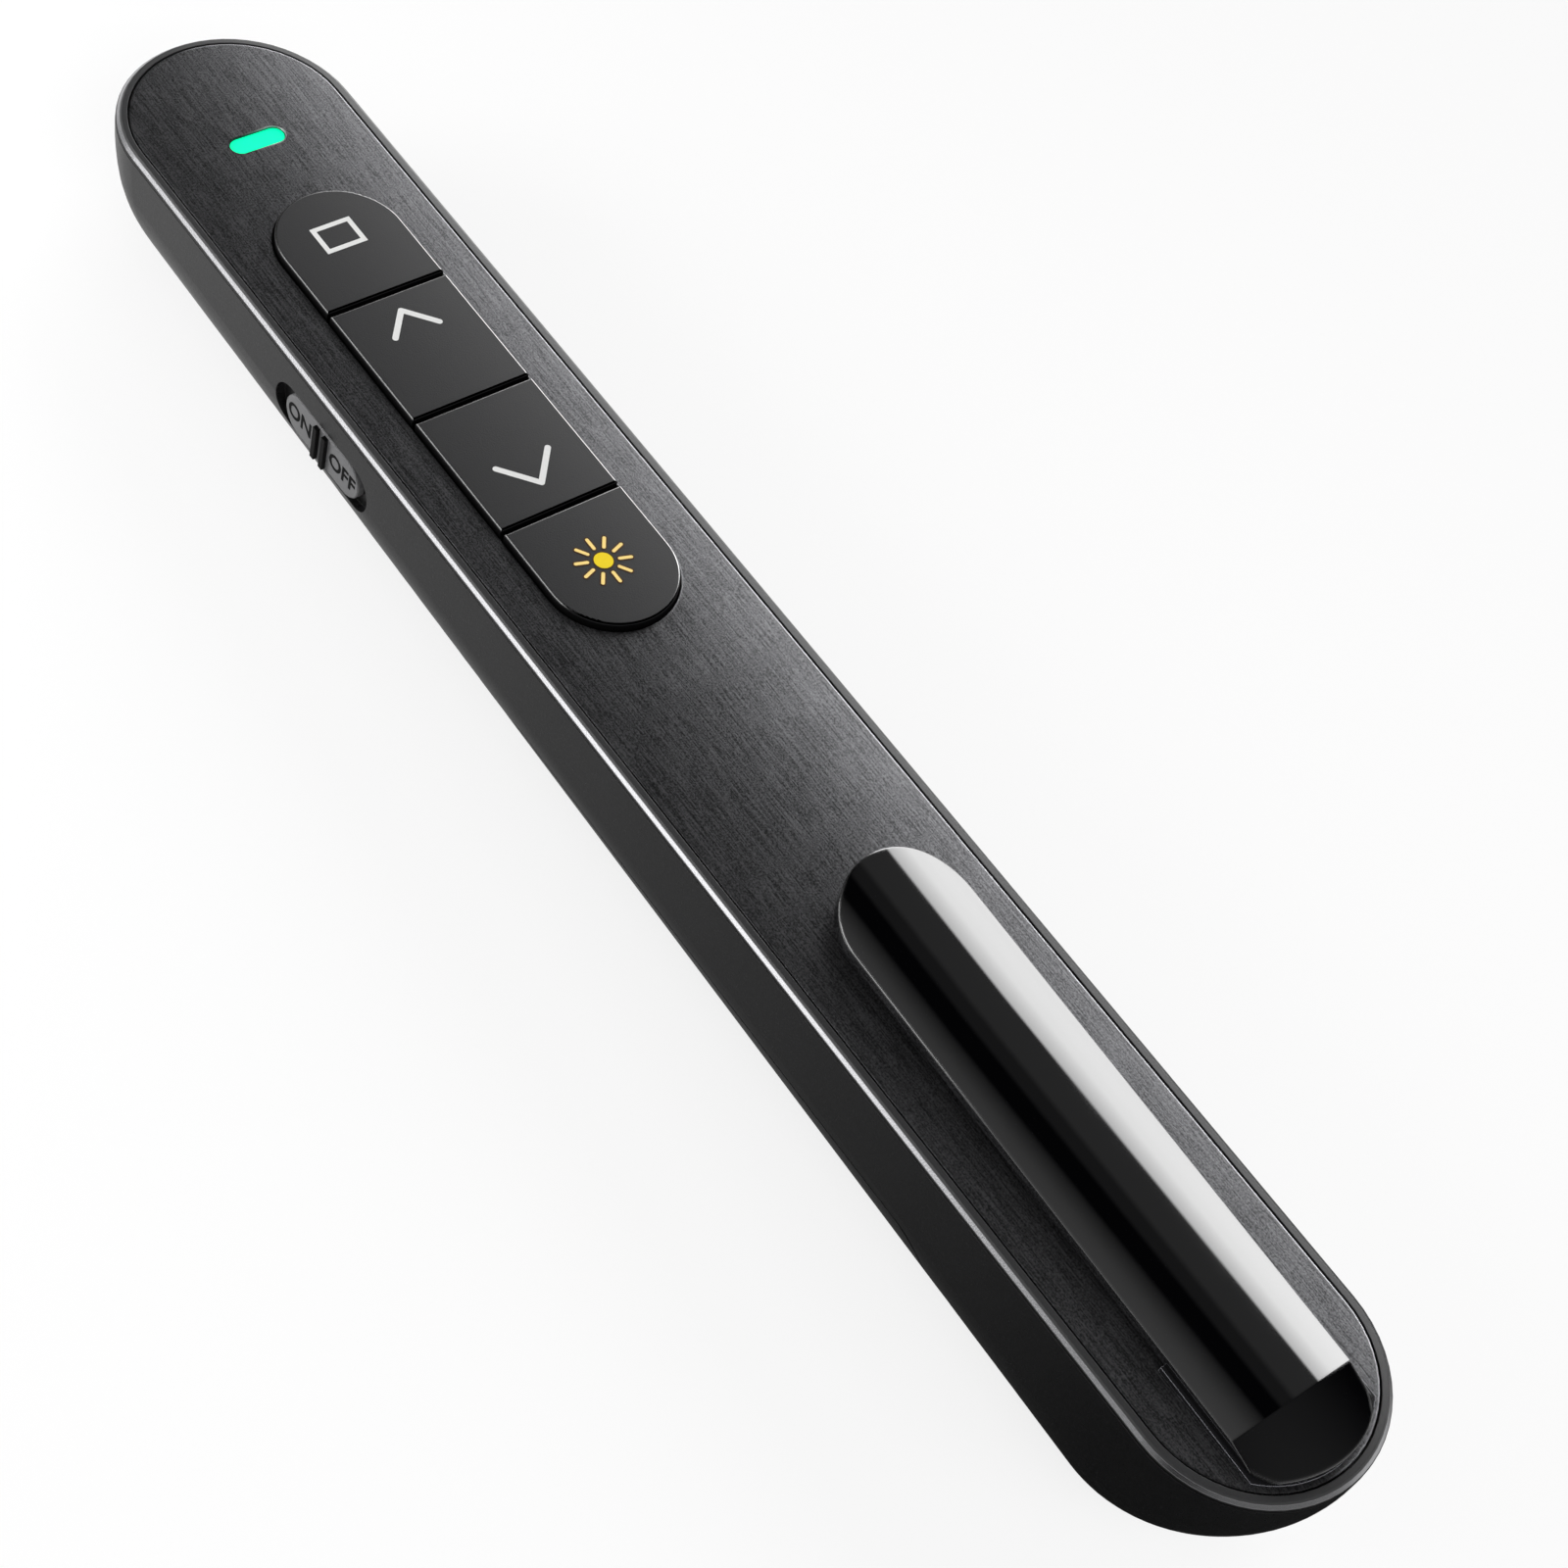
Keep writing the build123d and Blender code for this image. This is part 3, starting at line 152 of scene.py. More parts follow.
class Shader:
    """A material with one Principled BSDF, and short ways to add its texture nodes."""

    def __init__(self, name, color, roughness, **sockets):
        self.material = bpy.data.materials.new(name)
        self.material.use_nodes = True
        self.material.diffuse_color = (*color, 1)
        self.tree = self.material.node_tree
        self.bsdf = self.tree.nodes["Principled BSDF"]
        self.place = self.tree.nodes.new("ShaderNodeTexCoord").outputs["Object"]
        self.relief = None
        self.drive(Base_Color=(*color, 1), Roughness=roughness, **sockets)

    def drive(self, **sockets):
        """Sets or links the surface's own sockets by name."""
        for socket, value in sockets.items():
            feed(self.tree, self.bsdf.inputs[socket.replace("_", " ")], value)

    def node(self, kind, **inputs):
        """A new node, with its inputs set or linked by name."""
        made = self.tree.nodes.new(kind)
        for socket, value in inputs.items():
            feed(self.tree, made.inputs[socket.replace("_", " ")], value)
        return made

    def stretched(self, size):
        """Object coordinates in units of a grain's size across, along and up."""
        mapping = self.node("ShaderNodeMapping", Vector=self.place)
        mapping.inputs["Scale"].default_value = [1 / side for side in size]
        return mapping.outputs["Vector"]

    def noise(self, size, detail=2.0, roughness=0.5):
        """Noise whose blotches have a size, a length or one length for each axis."""
        sides = size if isinstance(size, tuple) else (size, size, size)
        place = self.stretched(sides)
        made = self.node("ShaderNodeTexNoise", Vector=place, Scale=1.0, Detail=detail, Roughness=roughness)
        return made.outputs["Fac"]

    def ranged(self, value, low, high, to_low, to_high):
        """A value carried from one range to another, and held inside it."""
        return ranged(self.tree, value, low, high, to_low, to_high)

    def sum(self, first, second):
        """Two values added."""
        return arithmetic(self.tree, "ADD", first, second)

    def times(self, first, second):
        """Two values multiplied."""
        return arithmetic(self.tree, "MULTIPLY", first, second)

    def mixed(self, share, first, second):
        """One colour over another, by a share."""
        made = self.tree.nodes.new("ShaderNodeMix")
        made.data_type = "RGBA"
        feed(self.tree, made.inputs["Factor"], share)
        for name, color in (("A", first), ("B", second)):
            value = (*color, 1) if isinstance(color, tuple) else color
            feed(self.tree, color_socket(made.inputs, name), value)
        return color_socket(made.outputs, "Result")

    def varied(self, share, color, darkest, lightest):
        """A colour between a darker and a lighter shade of itself, by a share."""
        return self.mixed(share, shade(color, darkest), shade(color, lightest))

    def bump(self, height, depth):
        """Raises the surface by a height, on top of the relief so far."""
        made = self.node("ShaderNodeBump", Height=height, Strength=1.0, Distance=depth)
        if self.relief is not None:
            feed(self.tree, made.inputs["Normal"], self.relief)
        self.relief = made.outputs["Normal"]
        self.drive(Normal=self.relief)

    def crown(self, node, edge_slope):
        """Arches the surface across, as wide as a node and as steep at its sides as a slope."""
        low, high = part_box(node)
        squared = self.times(self.at(X), self.at(X))
        self.bump(self.times(squared, -edge_slope / (high.x - low.x)), 1.0)

    def beveled(self, radius):
        """The surface's direction, with its sharp edges rounded to a radius."""
        made = self.node("ShaderNodeBevel", Radius=radius)
        made.samples = 4
        return made.outputs["Normal"]

    def rounded(self, radius):
        """Catches the light on sharp edges as if they had a radius."""
        self.relief = self.beveled(radius)
        self.drive(Normal=self.relief)

    def edges(self, radius):
        """One on sharp edges within a radius, and nought elsewhere."""
        flat, sharp = 0.97, 0.8  # the cosine of the angle that rounding turns the surface by
        plain = self.tree.nodes.new("ShaderNodeNewGeometry").outputs["Normal"]
        return self.ranged(self.along(self.beveled(radius), plain), flat, sharp, 0.0, 1.0)

    def along(self, first, second):
        """How far one vector reaches along another."""
        dot = self.tree.nodes.new("ShaderNodeVectorMath")
        dot.operation = "DOT_PRODUCT"
        feed(self.tree, dot.inputs[0], first)
        feed(self.tree, dot.inputs[1], second)
        return dot.outputs["Value"]

    def facing(self, axis):
        """How far the surface faces along an axis of the frame."""
        normal = self.tree.nodes.new("ShaderNodeNewGeometry").outputs["Normal"]
        return self.node("ShaderNodeSeparateXYZ", Vector=normal).outputs[axis]

    def at(self, axis):
        """Where the surface is along an axis of the frame."""
        return self.node("ShaderNodeSeparateXYZ", Vector=self.place).outputs[axis]

    def towards(self, direction):
        """How far the surface's place reaches along a direction."""
        return self.along(self.place, direction)


# ---------------------------------------------------------------------------------------------
# Materials
# ---------------------------------------------------------------------------------------------

BLACK = (0.0065, 0.0065, 0.0068)
# black, for painted shade on the keys
PAINTED_SHADE_BLACK = (0.0, 0.0, 0.0)


def moulded(name, color, roughness, grain=0.14, wear_and_highlight=1.6, edge=0.1):
    """Injection-moulded plastic: a fine spark-eroded grain, faint cloudiness and edges lightened by a
    factor: scuffing where it is small, a painted highlight where it is large.
    """
    skin = Shader(name, color, roughness)
    skin.rounded(edge * MM)
    edge_wear_light_and_shade = skin.edges(edge * MM)
    clouds = skin.noise(9 * MM, detail=3)
    tone = skin.varied(skin.ranged(clouds, 0.35, 0.65, 0.0, 1.0), color, 0.93, 1.07)
    speckle = skin.noise(grain * MM, detail=1)
    skin.drive(
        Base_Color=skin.mixed(edge_wear_light_and_shade, tone, shade(color, wear_and_highlight)),
        Roughness=skin.ranged(speckle, 0.3, 0.7, roughness - 0.05, roughness + 0.05),
    )
    skin.bump(speckle, 0.006 * MM)
    return skin.material


def key_plastic():
    """The keys: matte and a little crowned; the upper edge is painted bright on the right as a highlight and
    dim on the left as shade, edges facing the tail are painted black as shade, and the sides are painted
    black as shade.
    """
    color, roughness, brow_roughness = (0.020, 0.020, 0.021), 0.46, 0.25
    left_edge, right_edge = (0.14, 0.14, 0.14), (0.6, 0.6, 0.6)
    skin = Shader("key_plastic", color, roughness, Specular_IOR_Level=0.32)
    level = skin.facing(Z)
    brow = skin.times(skin.ranged(level, 0.35, 0.6, 0, 1), skin.ranged(level, 0.98, 0.94, 0, 1))
    # painted highlight and shade: the upper edge is bright where it faces right, dim where it faces left,
    # and black where it faces the tail
    painted_edge_light = skin.mixed(skin.ranged(skin.facing(X), -0.1, 0.1, 0, 1), left_edge, right_edge)
    painted_edge_light = skin.mixed(skin.ranged(skin.facing(Y), -0.3, -0.15, 1, 0), painted_edge_light, PAINTED_SHADE_BLACK)
    # painted shade: the key's steep sides are coloured nearly black
    painted_side_shade = skin.ranged(level, 0.15, 0.35, 0.06, 1)
    speckle = skin.noise(0.1 * MM, detail=1)
    tone = skin.mixed(painted_side_shade, PAINTED_SHADE_BLACK, skin.varied(speckle, color, 0.9, 1.1))
    skin.drive(
        Base_Color=skin.mixed(brow, tone, painted_edge_light),
        Metallic=brow,
        Roughness=skin.ranged(brow, 0, 1, roughness, brow_roughness),
    )
    skin.crown("page_up_button", 0.07)
    skin.bump(speckle, 0.008 * MM)
    return skin.material


def rim_plastic():
    """The front frame: matte on top, a bright line cut along its chamfer, and black below that line."""
    color, cut_color, under_color = (0.030, 0.030, 0.031), (0.38, 0.38, 0.39), (0.0005, 0.0005, 0.0005)
    roughness, cut_roughness = 0.38, 0.26
    top = span("front_frame", DECK_UP)[1]
    line_top, line_foot, fade = top - 0.13 * MM, top - 0.36 * MM, 0.05 * MM
    skin = Shader("rim_plastic", color, roughness)
    skin.rounded(0.08 * MM)
    height = skin.towards(DECK_UP)
    above_foot = skin.ranged(height, line_foot - fade, line_foot, 0, 1)
    below_top = skin.ranged(height, line_top, line_top - fade, 0, 1)
    facing_up = skin.ranged(skin.facing(Z), 0.5, 0.6, 0, 1)
    cut = skin.times(skin.times(above_foot, below_top), facing_up)
    under = skin.ranged(height, line_foot, line_foot - fade, 0, 1)
    speckle = skin.noise(0.12 * MM, detail=1)
    grain = skin.mixed(under, skin.varied(speckle, color, 0.85, 1.15), under_color)
    skin.drive(
        Base_Color=skin.mixed(cut, grain, cut_color),
        Metallic=cut,
        Roughness=skin.ranged(cut, 0, 1, roughness, cut_roughness),
    )
    skin.crown("front_frame", 0.14)
    skin.bump(speckle, 0.004 * MM)
    return skin.material


def brushed_plate():
    """The face plate: dark anodised aluminium, slightly crowned and brushed along its length.

    Its edge has painted shade on the left, a dark line, and a painted highlight on the right, a light line.
    """
    color = (0.096, 0.096, 0.100)
    left_edge, right_edge = shade(color, 0.05), shade(color, 9)
    fine = 0.11 * MM
    skin = Shader("brushed_plate", color, 0.34, Metallic=0.85, Specular_Tint=(0.15, 0.15, 0.15, 1))
    skin.rounded(0.14 * MM)
    strokes = skin.noise((fine, 18 * MM, fine), detail=2, roughness=0.7)
    sand = skin.noise((fine, 0.16 * MM, fine), detail=1)
    both = skin.sum(skin.ranged(strokes, 0, 1, -0.25, 0.85), skin.ranged(sand, 0, 1, -0.35, 0.75))
    tone = skin.varied(skin.ranged(both, 0.25, 0.75, 0, 1), color, 0.45, 1.55)
    edge_wear_light_and_shade = skin.edges(0.27 * MM)
    # painted shade on the left edge and a painted highlight on the right edge, chosen by the side the
    # surface lies on
    edge = skin.mixed(skin.ranged(skin.at(X), -1 * MM, 1 * MM, 0, 1), left_edge, right_edge)
    skin.drive(Base_Color=skin.mixed(edge_wear_light_and_shade, tone, edge), Roughness=skin.ranged(both, 0.3, 0.7, 0.28, 0.40))
    skin.crown("face_plate", 0.14)
    skin.bump(both, 0.007 * MM)
    return skin.material


def piano_black():
    """The clip: high-gloss black lacquer with the faintest smears."""
    lacquer = {"Coat_Weight": 1.0, "Coat_Roughness": 0.02, "Coat_IOR": 1.8}
    skin = Shader("piano_black", (0.0012, 0.0012, 0.0015), 0.05, IOR=1.55, **lacquer)
    skin.rounded(0.3 * MM)
    smears = skin.noise((3 * MM, 9 * MM, 3 * MM), detail=3)
    skin.drive(Roughness=skin.ranged(smears, 0.4, 0.75, 0.04, 0.11))
    skin.bump(skin.noise(6 * MM, detail=0), 0.004 * MM)
    return skin.material


def indicator_glass():
    """The lit window of the indicator."""
    glow = {"Emission_Color": (0.0, 1.0, 0.42, 1), "Emission_Strength": 0.72}
    skin = Shader("indicator_glass", (0.0, 0.70, 0.30), 0.45, Specular_IOR_Level=0.1, **glow)
    skin.rounded(0.08 * MM)
    core = skin.noise(0.8 * MM, detail=1)
    skin.drive(Base_Color=skin.mixed(core, (0.0, 0.6, 0.26), (0.0, 0.75, 0.34)))
    return skin.material


def bare_metal(name, color, roughness, grain=(0.04, 1.5, 0.04)):
    """Metal with fine drawn lines and slightly polished edges."""
    skin = Shader(name, color, roughness, Metallic=1.0)
    skin.rounded(0.08 * MM)
    lines = skin.noise(tuple(side * MM for side in grain), detail=3)
    edge_wear_light_and_shade = skin.edges(0.08 * MM)
    tone = skin.varied(skin.ranged(lines, 0.3, 0.7, 0, 1), color, 0.86, 1.08)
    skin.drive(
        Base_Color=skin.mixed(edge_wear_light_and_shade, tone, shade(color, 1.2)),
        Roughness=skin.ranged(lines, 0.3, 0.7, roughness - 0.07, roughness + 0.07),
    )
    skin.bump(lines, 0.002 * MM)
    return skin.material


def slider_plastic():
    """The power switch's thumb piece: grey, with its ridges painted black as shade."""
    grey, black = (0.15, 0.15, 0.153), (0.002, 0.002, 0.002)
    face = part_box("on_off_slider")[0].x + RIDGE_STAND
    skin = Shader("slider_plastic", grey, 0.6, Specular_IOR_Level=0.2)
    skin.rounded(0.08 * MM)
    # painted shade: the ridges that stand out of the face are coloured black
    ridge = skin.ranged(skin.at(X), face - 0.03 * MM, face - 0.05 * MM, 0, 1)
    speckle = skin.noise(0.14 * MM, detail=1)
    skin.drive(Base_Color=skin.mixed(ridge, skin.varied(speckle, grey, 0.92, 1.08), black))
    skin.bump(speckle, 0.006 * MM)
    return skin.material


def solder_mask():
    """The circuit boards: green lacquer over faint copper tracks."""
    green, over_copper = (0.012, 0.10, 0.035), (0.03, 0.19, 0.06)
    skin = Shader("solder_mask", green, 0.3, Coat_Weight=0.4, Coat_Roughness=0.12)
    cells = skin.stretched((1.2 * MM, 2.5 * MM, 1.2 * MM))
    tracks = skin.node("ShaderNodeTexVoronoi", Vector=cells, Scale=1.0)
    tracks.distance = "CHEBYCHEV"
    tracks.feature = "DISTANCE_TO_EDGE"
    line = skin.ranged(tracks.outputs["Distance"], 0.03, 0.09, 1, 0)
    skin.drive(Base_Color=skin.mixed(line, green, over_copper))
    skin.bump(line, 0.02 * MM)
    return skin.material


def clear(name, color, roughness, ior=1.5):
    """Clear moulded plastic or glass with a tint."""
    skin = Shader(name, color, roughness, IOR=ior, Transmission_Weight=0.9)
    haze = skin.noise(1.5 * MM, detail=2)
    skin.drive(Roughness=skin.ranged(haze, 0.3, 0.7, roughness, roughness + 0.06))
    return skin.material


def cell_wrap():
    """The battery: a dark wrapper with a copper-coloured band at its positive end, and bare metal ends."""
    copper, bare = (0.58, 0.27, 0.09), (0.62, 0.61, 0.58)
    low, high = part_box("battery")
    band_start, wrap_end, wrap_start, fade = high.y - 11 * MM, high.y - 1.9 * MM, low.y + 0.6 * MM, 0.05 * MM
    skin = Shader("cell_wrap", (0.02, 0.022, 0.026), 0.3, Metallic=0.4, Coat_Weight=0.5, Coat_Roughness=0.1)
    band = skin.ranged(skin.at(Y), band_start, band_start + fade, 0, 1)
    end = skin.ranged(skin.at(Y), wrap_end, wrap_end + fade, 0, 1)
    foot = skin.ranged(skin.at(Y), wrap_start, wrap_start - fade, 0, 1)
    scuffs = skin.noise((2 * MM, 6 * MM, 2 * MM), detail=4)
    dark = skin.mixed(scuffs, (0.016, 0.018, 0.022), (0.03, 0.032, 0.038))
    skin.drive(
        Base_Color=skin.mixed(skin.sum(end, foot), skin.mixed(band, dark, copper), bare),
        Metallic=skin.ranged(skin.sum(skin.sum(band, end), foot), 0, 1, 0.3, 1.0),
        Roughness=skin.ranged(scuffs, 0.3, 0.7, 0.24, 0.38),
    )
    skin.bump(scuffs, 0.01 * MM)
    return skin.material


def ink(name, color, roughness=0.5):
    """A pad-printed ink, a little uneven."""
    skin = Shader(name, color, roughness, Specular_IOR_Level=0.2)
    body = skin.noise(0.25 * MM, detail=2)
    skin.drive(Base_Color=skin.varied(body, color, 0.93, 1.04))
    skin.bump(body, 0.003 * MM)
    return skin.material


COILED = (0.3, 0.3, 0.3)  # an even grain, for wire and for screws
TURNED = (1.5, 0.04, 1.5)  # lines round the Y axis

finishes = {
    "shell": moulded("shell_plastic", BLACK, 0.32),
    "frame": rim_plastic(),
    "plate": brushed_plate(),
    "led_window": indicator_glass(),
    "diode": clear("diode_resin", (0.7, 1.0, 0.85), 0.1),
    "board": solder_mask(),
    "chip": moulded("chip_epoxy", (0.012, 0.012, 0.012), 0.55, grain=0.08),
    "crystal": bare_metal("crystal_can", (0.62, 0.62, 0.60), 0.3),
    "switch_body": moulded("switch_nylon", (0.02, 0.02, 0.02), 0.5),
    "brass": bare_metal("brass_turned", (0.70, 0.48, 0.20), 0.3, TURNED),
    "lens": clear("lens_glass", (0.95, 0.98, 1.0), 0.02, ior=1.6),
    "diode_can": bare_metal("diode_can_steel", (0.66, 0.62, 0.52), 0.3),
    "laser_window": clear("laser_window_glass", (0.30, 0.02, 0.02), 0.05),
    "cell": cell_wrap(),
    "spring": bare_metal("spring_wire", (0.60, 0.60, 0.58), 0.28, COILED),
    "contact": bare_metal("contact_nickel", (0.70, 0.68, 0.62), 0.25),
    "screw": bare_metal("screw_steel", (0.45, 0.45, 0.45), 0.35, COILED),
    # the edges lightened 55 times: a painted highlight line along the clip base
    "clip_base": moulded("clip_base_plastic", (0.010, 0.010, 0.011), 0.3, wear_and_highlight=55, edge=0.08),
    "key": key_plastic(),
    "plunger": moulded("plunger_rubber", (0.05, 0.05, 0.05), 0.7, grain=0.3),
    "slider": slider_plastic(),
    "clip": piano_black(),
    "door": moulded("door_plastic", BLACK, 0.32),
    "cap": moulded("cap_plastic", BLACK, 0.32),
    "plug": bare_metal("plug_steel", (0.72, 0.71, 0.68), 0.22),
    "tongue": moulded("tongue_plastic", (0.015, 0.015, 0.016), 0.5),
    "gold": bare_metal("contact_gold", (0.86, 0.60, 0.22), 0.2),
}


def finish_nodes():
    """Gives each node of the model the finish of its material slot."""
    for part in frame["record"]["subparts"]:
        node = frame["nodes"][part["node"]]
        node.data.materials.clear()
        node.data.materials.append(finishes[part["material_slot"]])


finish_nodes()

# ---------------------------------------------------------------------------------------------
# Printed symbols and lettering
# ---------------------------------------------------------------------------------------------

INK_HEIGHT = 0.02 * MM
INK_SUNK = 0.02 * MM
ARC_STEP = math.radians(15)
FULL_TURN = 2 * math.pi


def arc(centre, radius, start, sweep):
    """Points on an arc, from a start angle through a sweep."""
    steps = max(1, math.ceil(abs(sweep) / ARC_STEP))
    angles = [start + sweep * step / steps for step in range(steps + 1)]
    return [centre + radius * Vector((math.cos(a), math.sin(a))) for a in angles]


def circle(radius):
    """The outline of a circle round the origin."""
    return arc(Vector((0, 0)), radius, 0, FULL_TURN)[:-1]


def ribbon(points, width):
    """The outline of a stroke through points, with round ends and round outer corners."""
    half = width / 2
    there_and_back = points + points[-2:0:-1]
    outline = []
    for index, here in enumerate(there_and_back):
        before = (here - there_and_back[index - 1]).normalized()
        after = (there_and_back[(index + 1) % len(there_and_back)] - here).normalized()
        right_before = Vector((before.y, -before.x))
        right_after = Vector((after.y, -after.x))
        turn = math.atan2(before.x * after.y - before.y * after.x, before.dot(after))
        if before.dot(after) < -0.999:  # the stroke turns back at its end
            turn = math.pi
        if turn > 0:
            outline += arc(here, half, math.atan2(right_before.y, right_before.x), turn)
        else:
            outline.append(here + half * (right_before + right_after) / (1 + right_before.dot(right_after)))
    return outline


def rounded_rectangle(width, height, radius):
    """The outline of a rectangle with rounded corners, round the origin."""
    outline = []
    for quarter, (side, end) in enumerate(((1, 1), (-1, 1), (-1, -1), (1, -1))):
        corner = Vector((side * (width / 2 - radius), end * (height / 2 - radius)))
        outline += arc(corner, radius, quarter * math.pi / 2, math.pi / 2)
    return outline


def flat_curve(name, outlines):
    """A flat curve with these outlines, inner ones as holes, as thick as the print."""
    curve = bpy.data.curves.new(name, "CURVE")
    curve.dimensions = "2D"
    curve.fill_mode = "BOTH"
    curve.extrude = (INK_HEIGHT + INK_SUNK) / 2
    for outline in outlines:
        spline = curve.splines.new("POLY")
        spline.points.add(len(outline) - 1)
        for point, place in zip(spline.points, outline):
            point.co = (place.x, place.y, 0, 1)
        spline.use_cyclic_u = True
    return curve


def as_piece(name, curve, matrix, material, body):
    """Turns a curve or a text into a mesh, places it and lets it ride on a body."""
    drawn = bpy.data.objects.new(name + "_outline", curve)
    bpy.context.scene.collection.objects.link(drawn)
    bpy.context.view_layer.update()
    mesh = bpy.data.meshes.new_from_object(drawn.evaluated_get(bpy.context.evaluated_depsgraph_get()))
    bpy.data.objects.remove(drawn)
    mesh.name = name
    mesh.materials.clear()
    mesh.materials.append(material)
    piece = bpy.data.objects.new(name, mesh)
    bpy.context.scene.collection.objects.link(piece)
    piece.matrix_world = matrix
    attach(piece, body)


def print_on_key(name, node, outlines, material, forward, sideways=0.0):
    """A symbol on a key's top, moved from the key's middle towards the head and to the right."""
    scaled = [[point * MM for point in outline] for outline in outlines]
    place = (
        ACROSS * sideways * MM
        + DECK_HEAD * (middle(node, DECK_HEAD) + forward * MM)
        + DECK_UP * (span(node, DECK_UP)[1] + (INK_HEIGHT - INK_SUNK) / 2)
    )
    body = node.replace("_button", "_key")
    as_piece(name, flat_curve(name, scaled), frame_at(place, ACROSS, DECK_HEAD), material, body)


def screen_symbol(paint):
    """An upright window outline: blank or show the screen."""
    width, height, stroke, corner = 3.68, 2.88, 0.42, 0.04
    outer = rounded_rectangle(width, height, corner)
    inner = rounded_rectangle(width - 2 * stroke, height - 2 * stroke, corner)
    print_on_key("screen_symbol", "screen_button", [outer, inner], paint, forward=0.57, sideways=-0.15)


def chevron_symbols(paint):
    """An arrow head on each page key: up for the page before, down for the next."""
    stroke = 0.50
    up = [Vector((-2.04, -1.15)), Vector((-0.05, 1.15)), Vector((2.04, -1.15))]
    down = [Vector((-2.4, 1.35)), Vector((0.0, -1.35)), Vector((2.4, 1.35))]
    print_on_key("page_up_symbol", "page_up_button", [ribbon(up, stroke)], paint, forward=2.91)
    print_on_key("page_down_symbol", "page_down_button", [ribbon(down, stroke)], paint, forward=-2.04)


def laser_symbol():
    """A little sun on the laser key: a disc and ten rays, all with a thin brown outline."""
    disc_radius, ray_start, ray_end, ray_width, rays, line = 0.76, 1.28, 2.2, 0.28, 10, 0.11
    place = {"forward": 0.66, "sideways": -0.09}
    disc = circle(disc_radius)
    beams, lined = [], [circle(disc_radius + line)]
    for ray in range(rays):
        angle = math.pi / 2 + FULL_TURN * ray / rays
        out = Vector((math.cos(angle), math.sin(angle)))
        beams.append(ribbon([out * ray_start, out * ray_end], ray_width))
        lined.append(ribbon([out * ray_start, out * ray_end], ray_width + 2 * line))
    brown = ink("ink_brown", (0.055, 0.022, 0.006))
    print_on_key("sun_outline", "laser_button", lined + beams + [disc], brown, **place)
    print_on_key("sun_disc", "laser_button", [disc], ink("ink_yellow", (0.86, 0.64, 0.01)), **place)
    print_on_key("sun_rays", "laser_button", beams, ink("ink_cream", (0.95, 0.70, 0.24)), **place)


def switch_lettering(paint):
    """ON and OFF, filled into the face of the power switch's slider."""
    size, boldness = 2.1 * MM, 0.05 * MM
    face = ACROSS * (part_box("on_off_slider")[0].x + RIDGE_STAND)
    centre = face + DECK_UP * middle("on_off_slider", DECK_UP)
    middle_y = middle("on_off_slider", DECK_HEAD)
    for words, towards_head in (("ON", 3.1), ("OFF", -3.0)):
        text = bpy.data.curves.new("switch_" + words, "FONT")
        text.body = words
        text.size = size
        text.align_x = "CENTER"
        text.align_y = "CENTER"
        text.extrude = (INK_HEIGHT + INK_SUNK) / 2
        text.offset = boldness
        place = centre + DECK_HEAD * (middle_y + towards_head * MM)
        matrix = frame_at(place, -DECK_HEAD, DECK_UP)
        as_piece("switch_" + words.lower(), text, matrix, paint, "power_slider")


white_ink = ink("ink_white", (0.74, 0.74, 0.73))
screen_symbol(white_ink)
chevron_symbols(white_ink)
laser_symbol()
switch_lettering(ink("engraved_fill", (0.006, 0.006, 0.006), 0.9))

# ---------------------------------------------------------------------------------------------
# Studio
# ---------------------------------------------------------------------------------------------


def floor():
    """A white floor, just under the object, which keeps a soft shadow; mirrors see painted shade on it near
    the object, darker towards the tail.
    """
    side, level = 3.0, -0.05 * MM
    whiteness, glow = 0.93, 0.8
    mesh = bpy.data.meshes.new("studio_floor")
    corners = [(x * side, y * side, level) for x, y in ((-1, -1), (1, -1), (1, 1), (-1, 1))]
    mesh.from_pydata(corners, [], [(0, 1, 2, 3)])
    plain = Shader("floor_white", (whiteness, whiteness, whiteness), 0.9, Specular_IOR_Level=0.0)
    path = plain.tree.nodes.new("ShaderNodeLightPath")
    # painted shade under the object, seen only by glossy rays
    reflected_shade = plain.times(painted_floor_shade(plain), path.outputs["Is Glossy Ray"])
    white = plain.node("ShaderNodeEmission", Color=(1, 1, 1, 1), Strength=plain.ranged(reflected_shade, 0, 1, 1, 0))
    share = plain.ranged(seen_directly(plain.tree), 0, 1, 0, glow)
    share = plain.sum(share, plain.ranged(reflected_shade, 0, 0.01, 0, 1 - glow))
    both = plain.node("ShaderNodeMixShader", Fac=share)
    feed(plain.tree, both.inputs[1], plain.bsdf.outputs["BSDF"])
    feed(plain.tree, both.inputs[2], white.outputs["Emission"])
    feed(plain.tree, plain.tree.nodes["Material Output"].inputs["Surface"], both.outputs["Shader"])
    mesh.materials.append(plain.material)
    made = bpy.data.objects.new("studio_floor", mesh)
    bpy.context.scene.collection.objects.link(made)


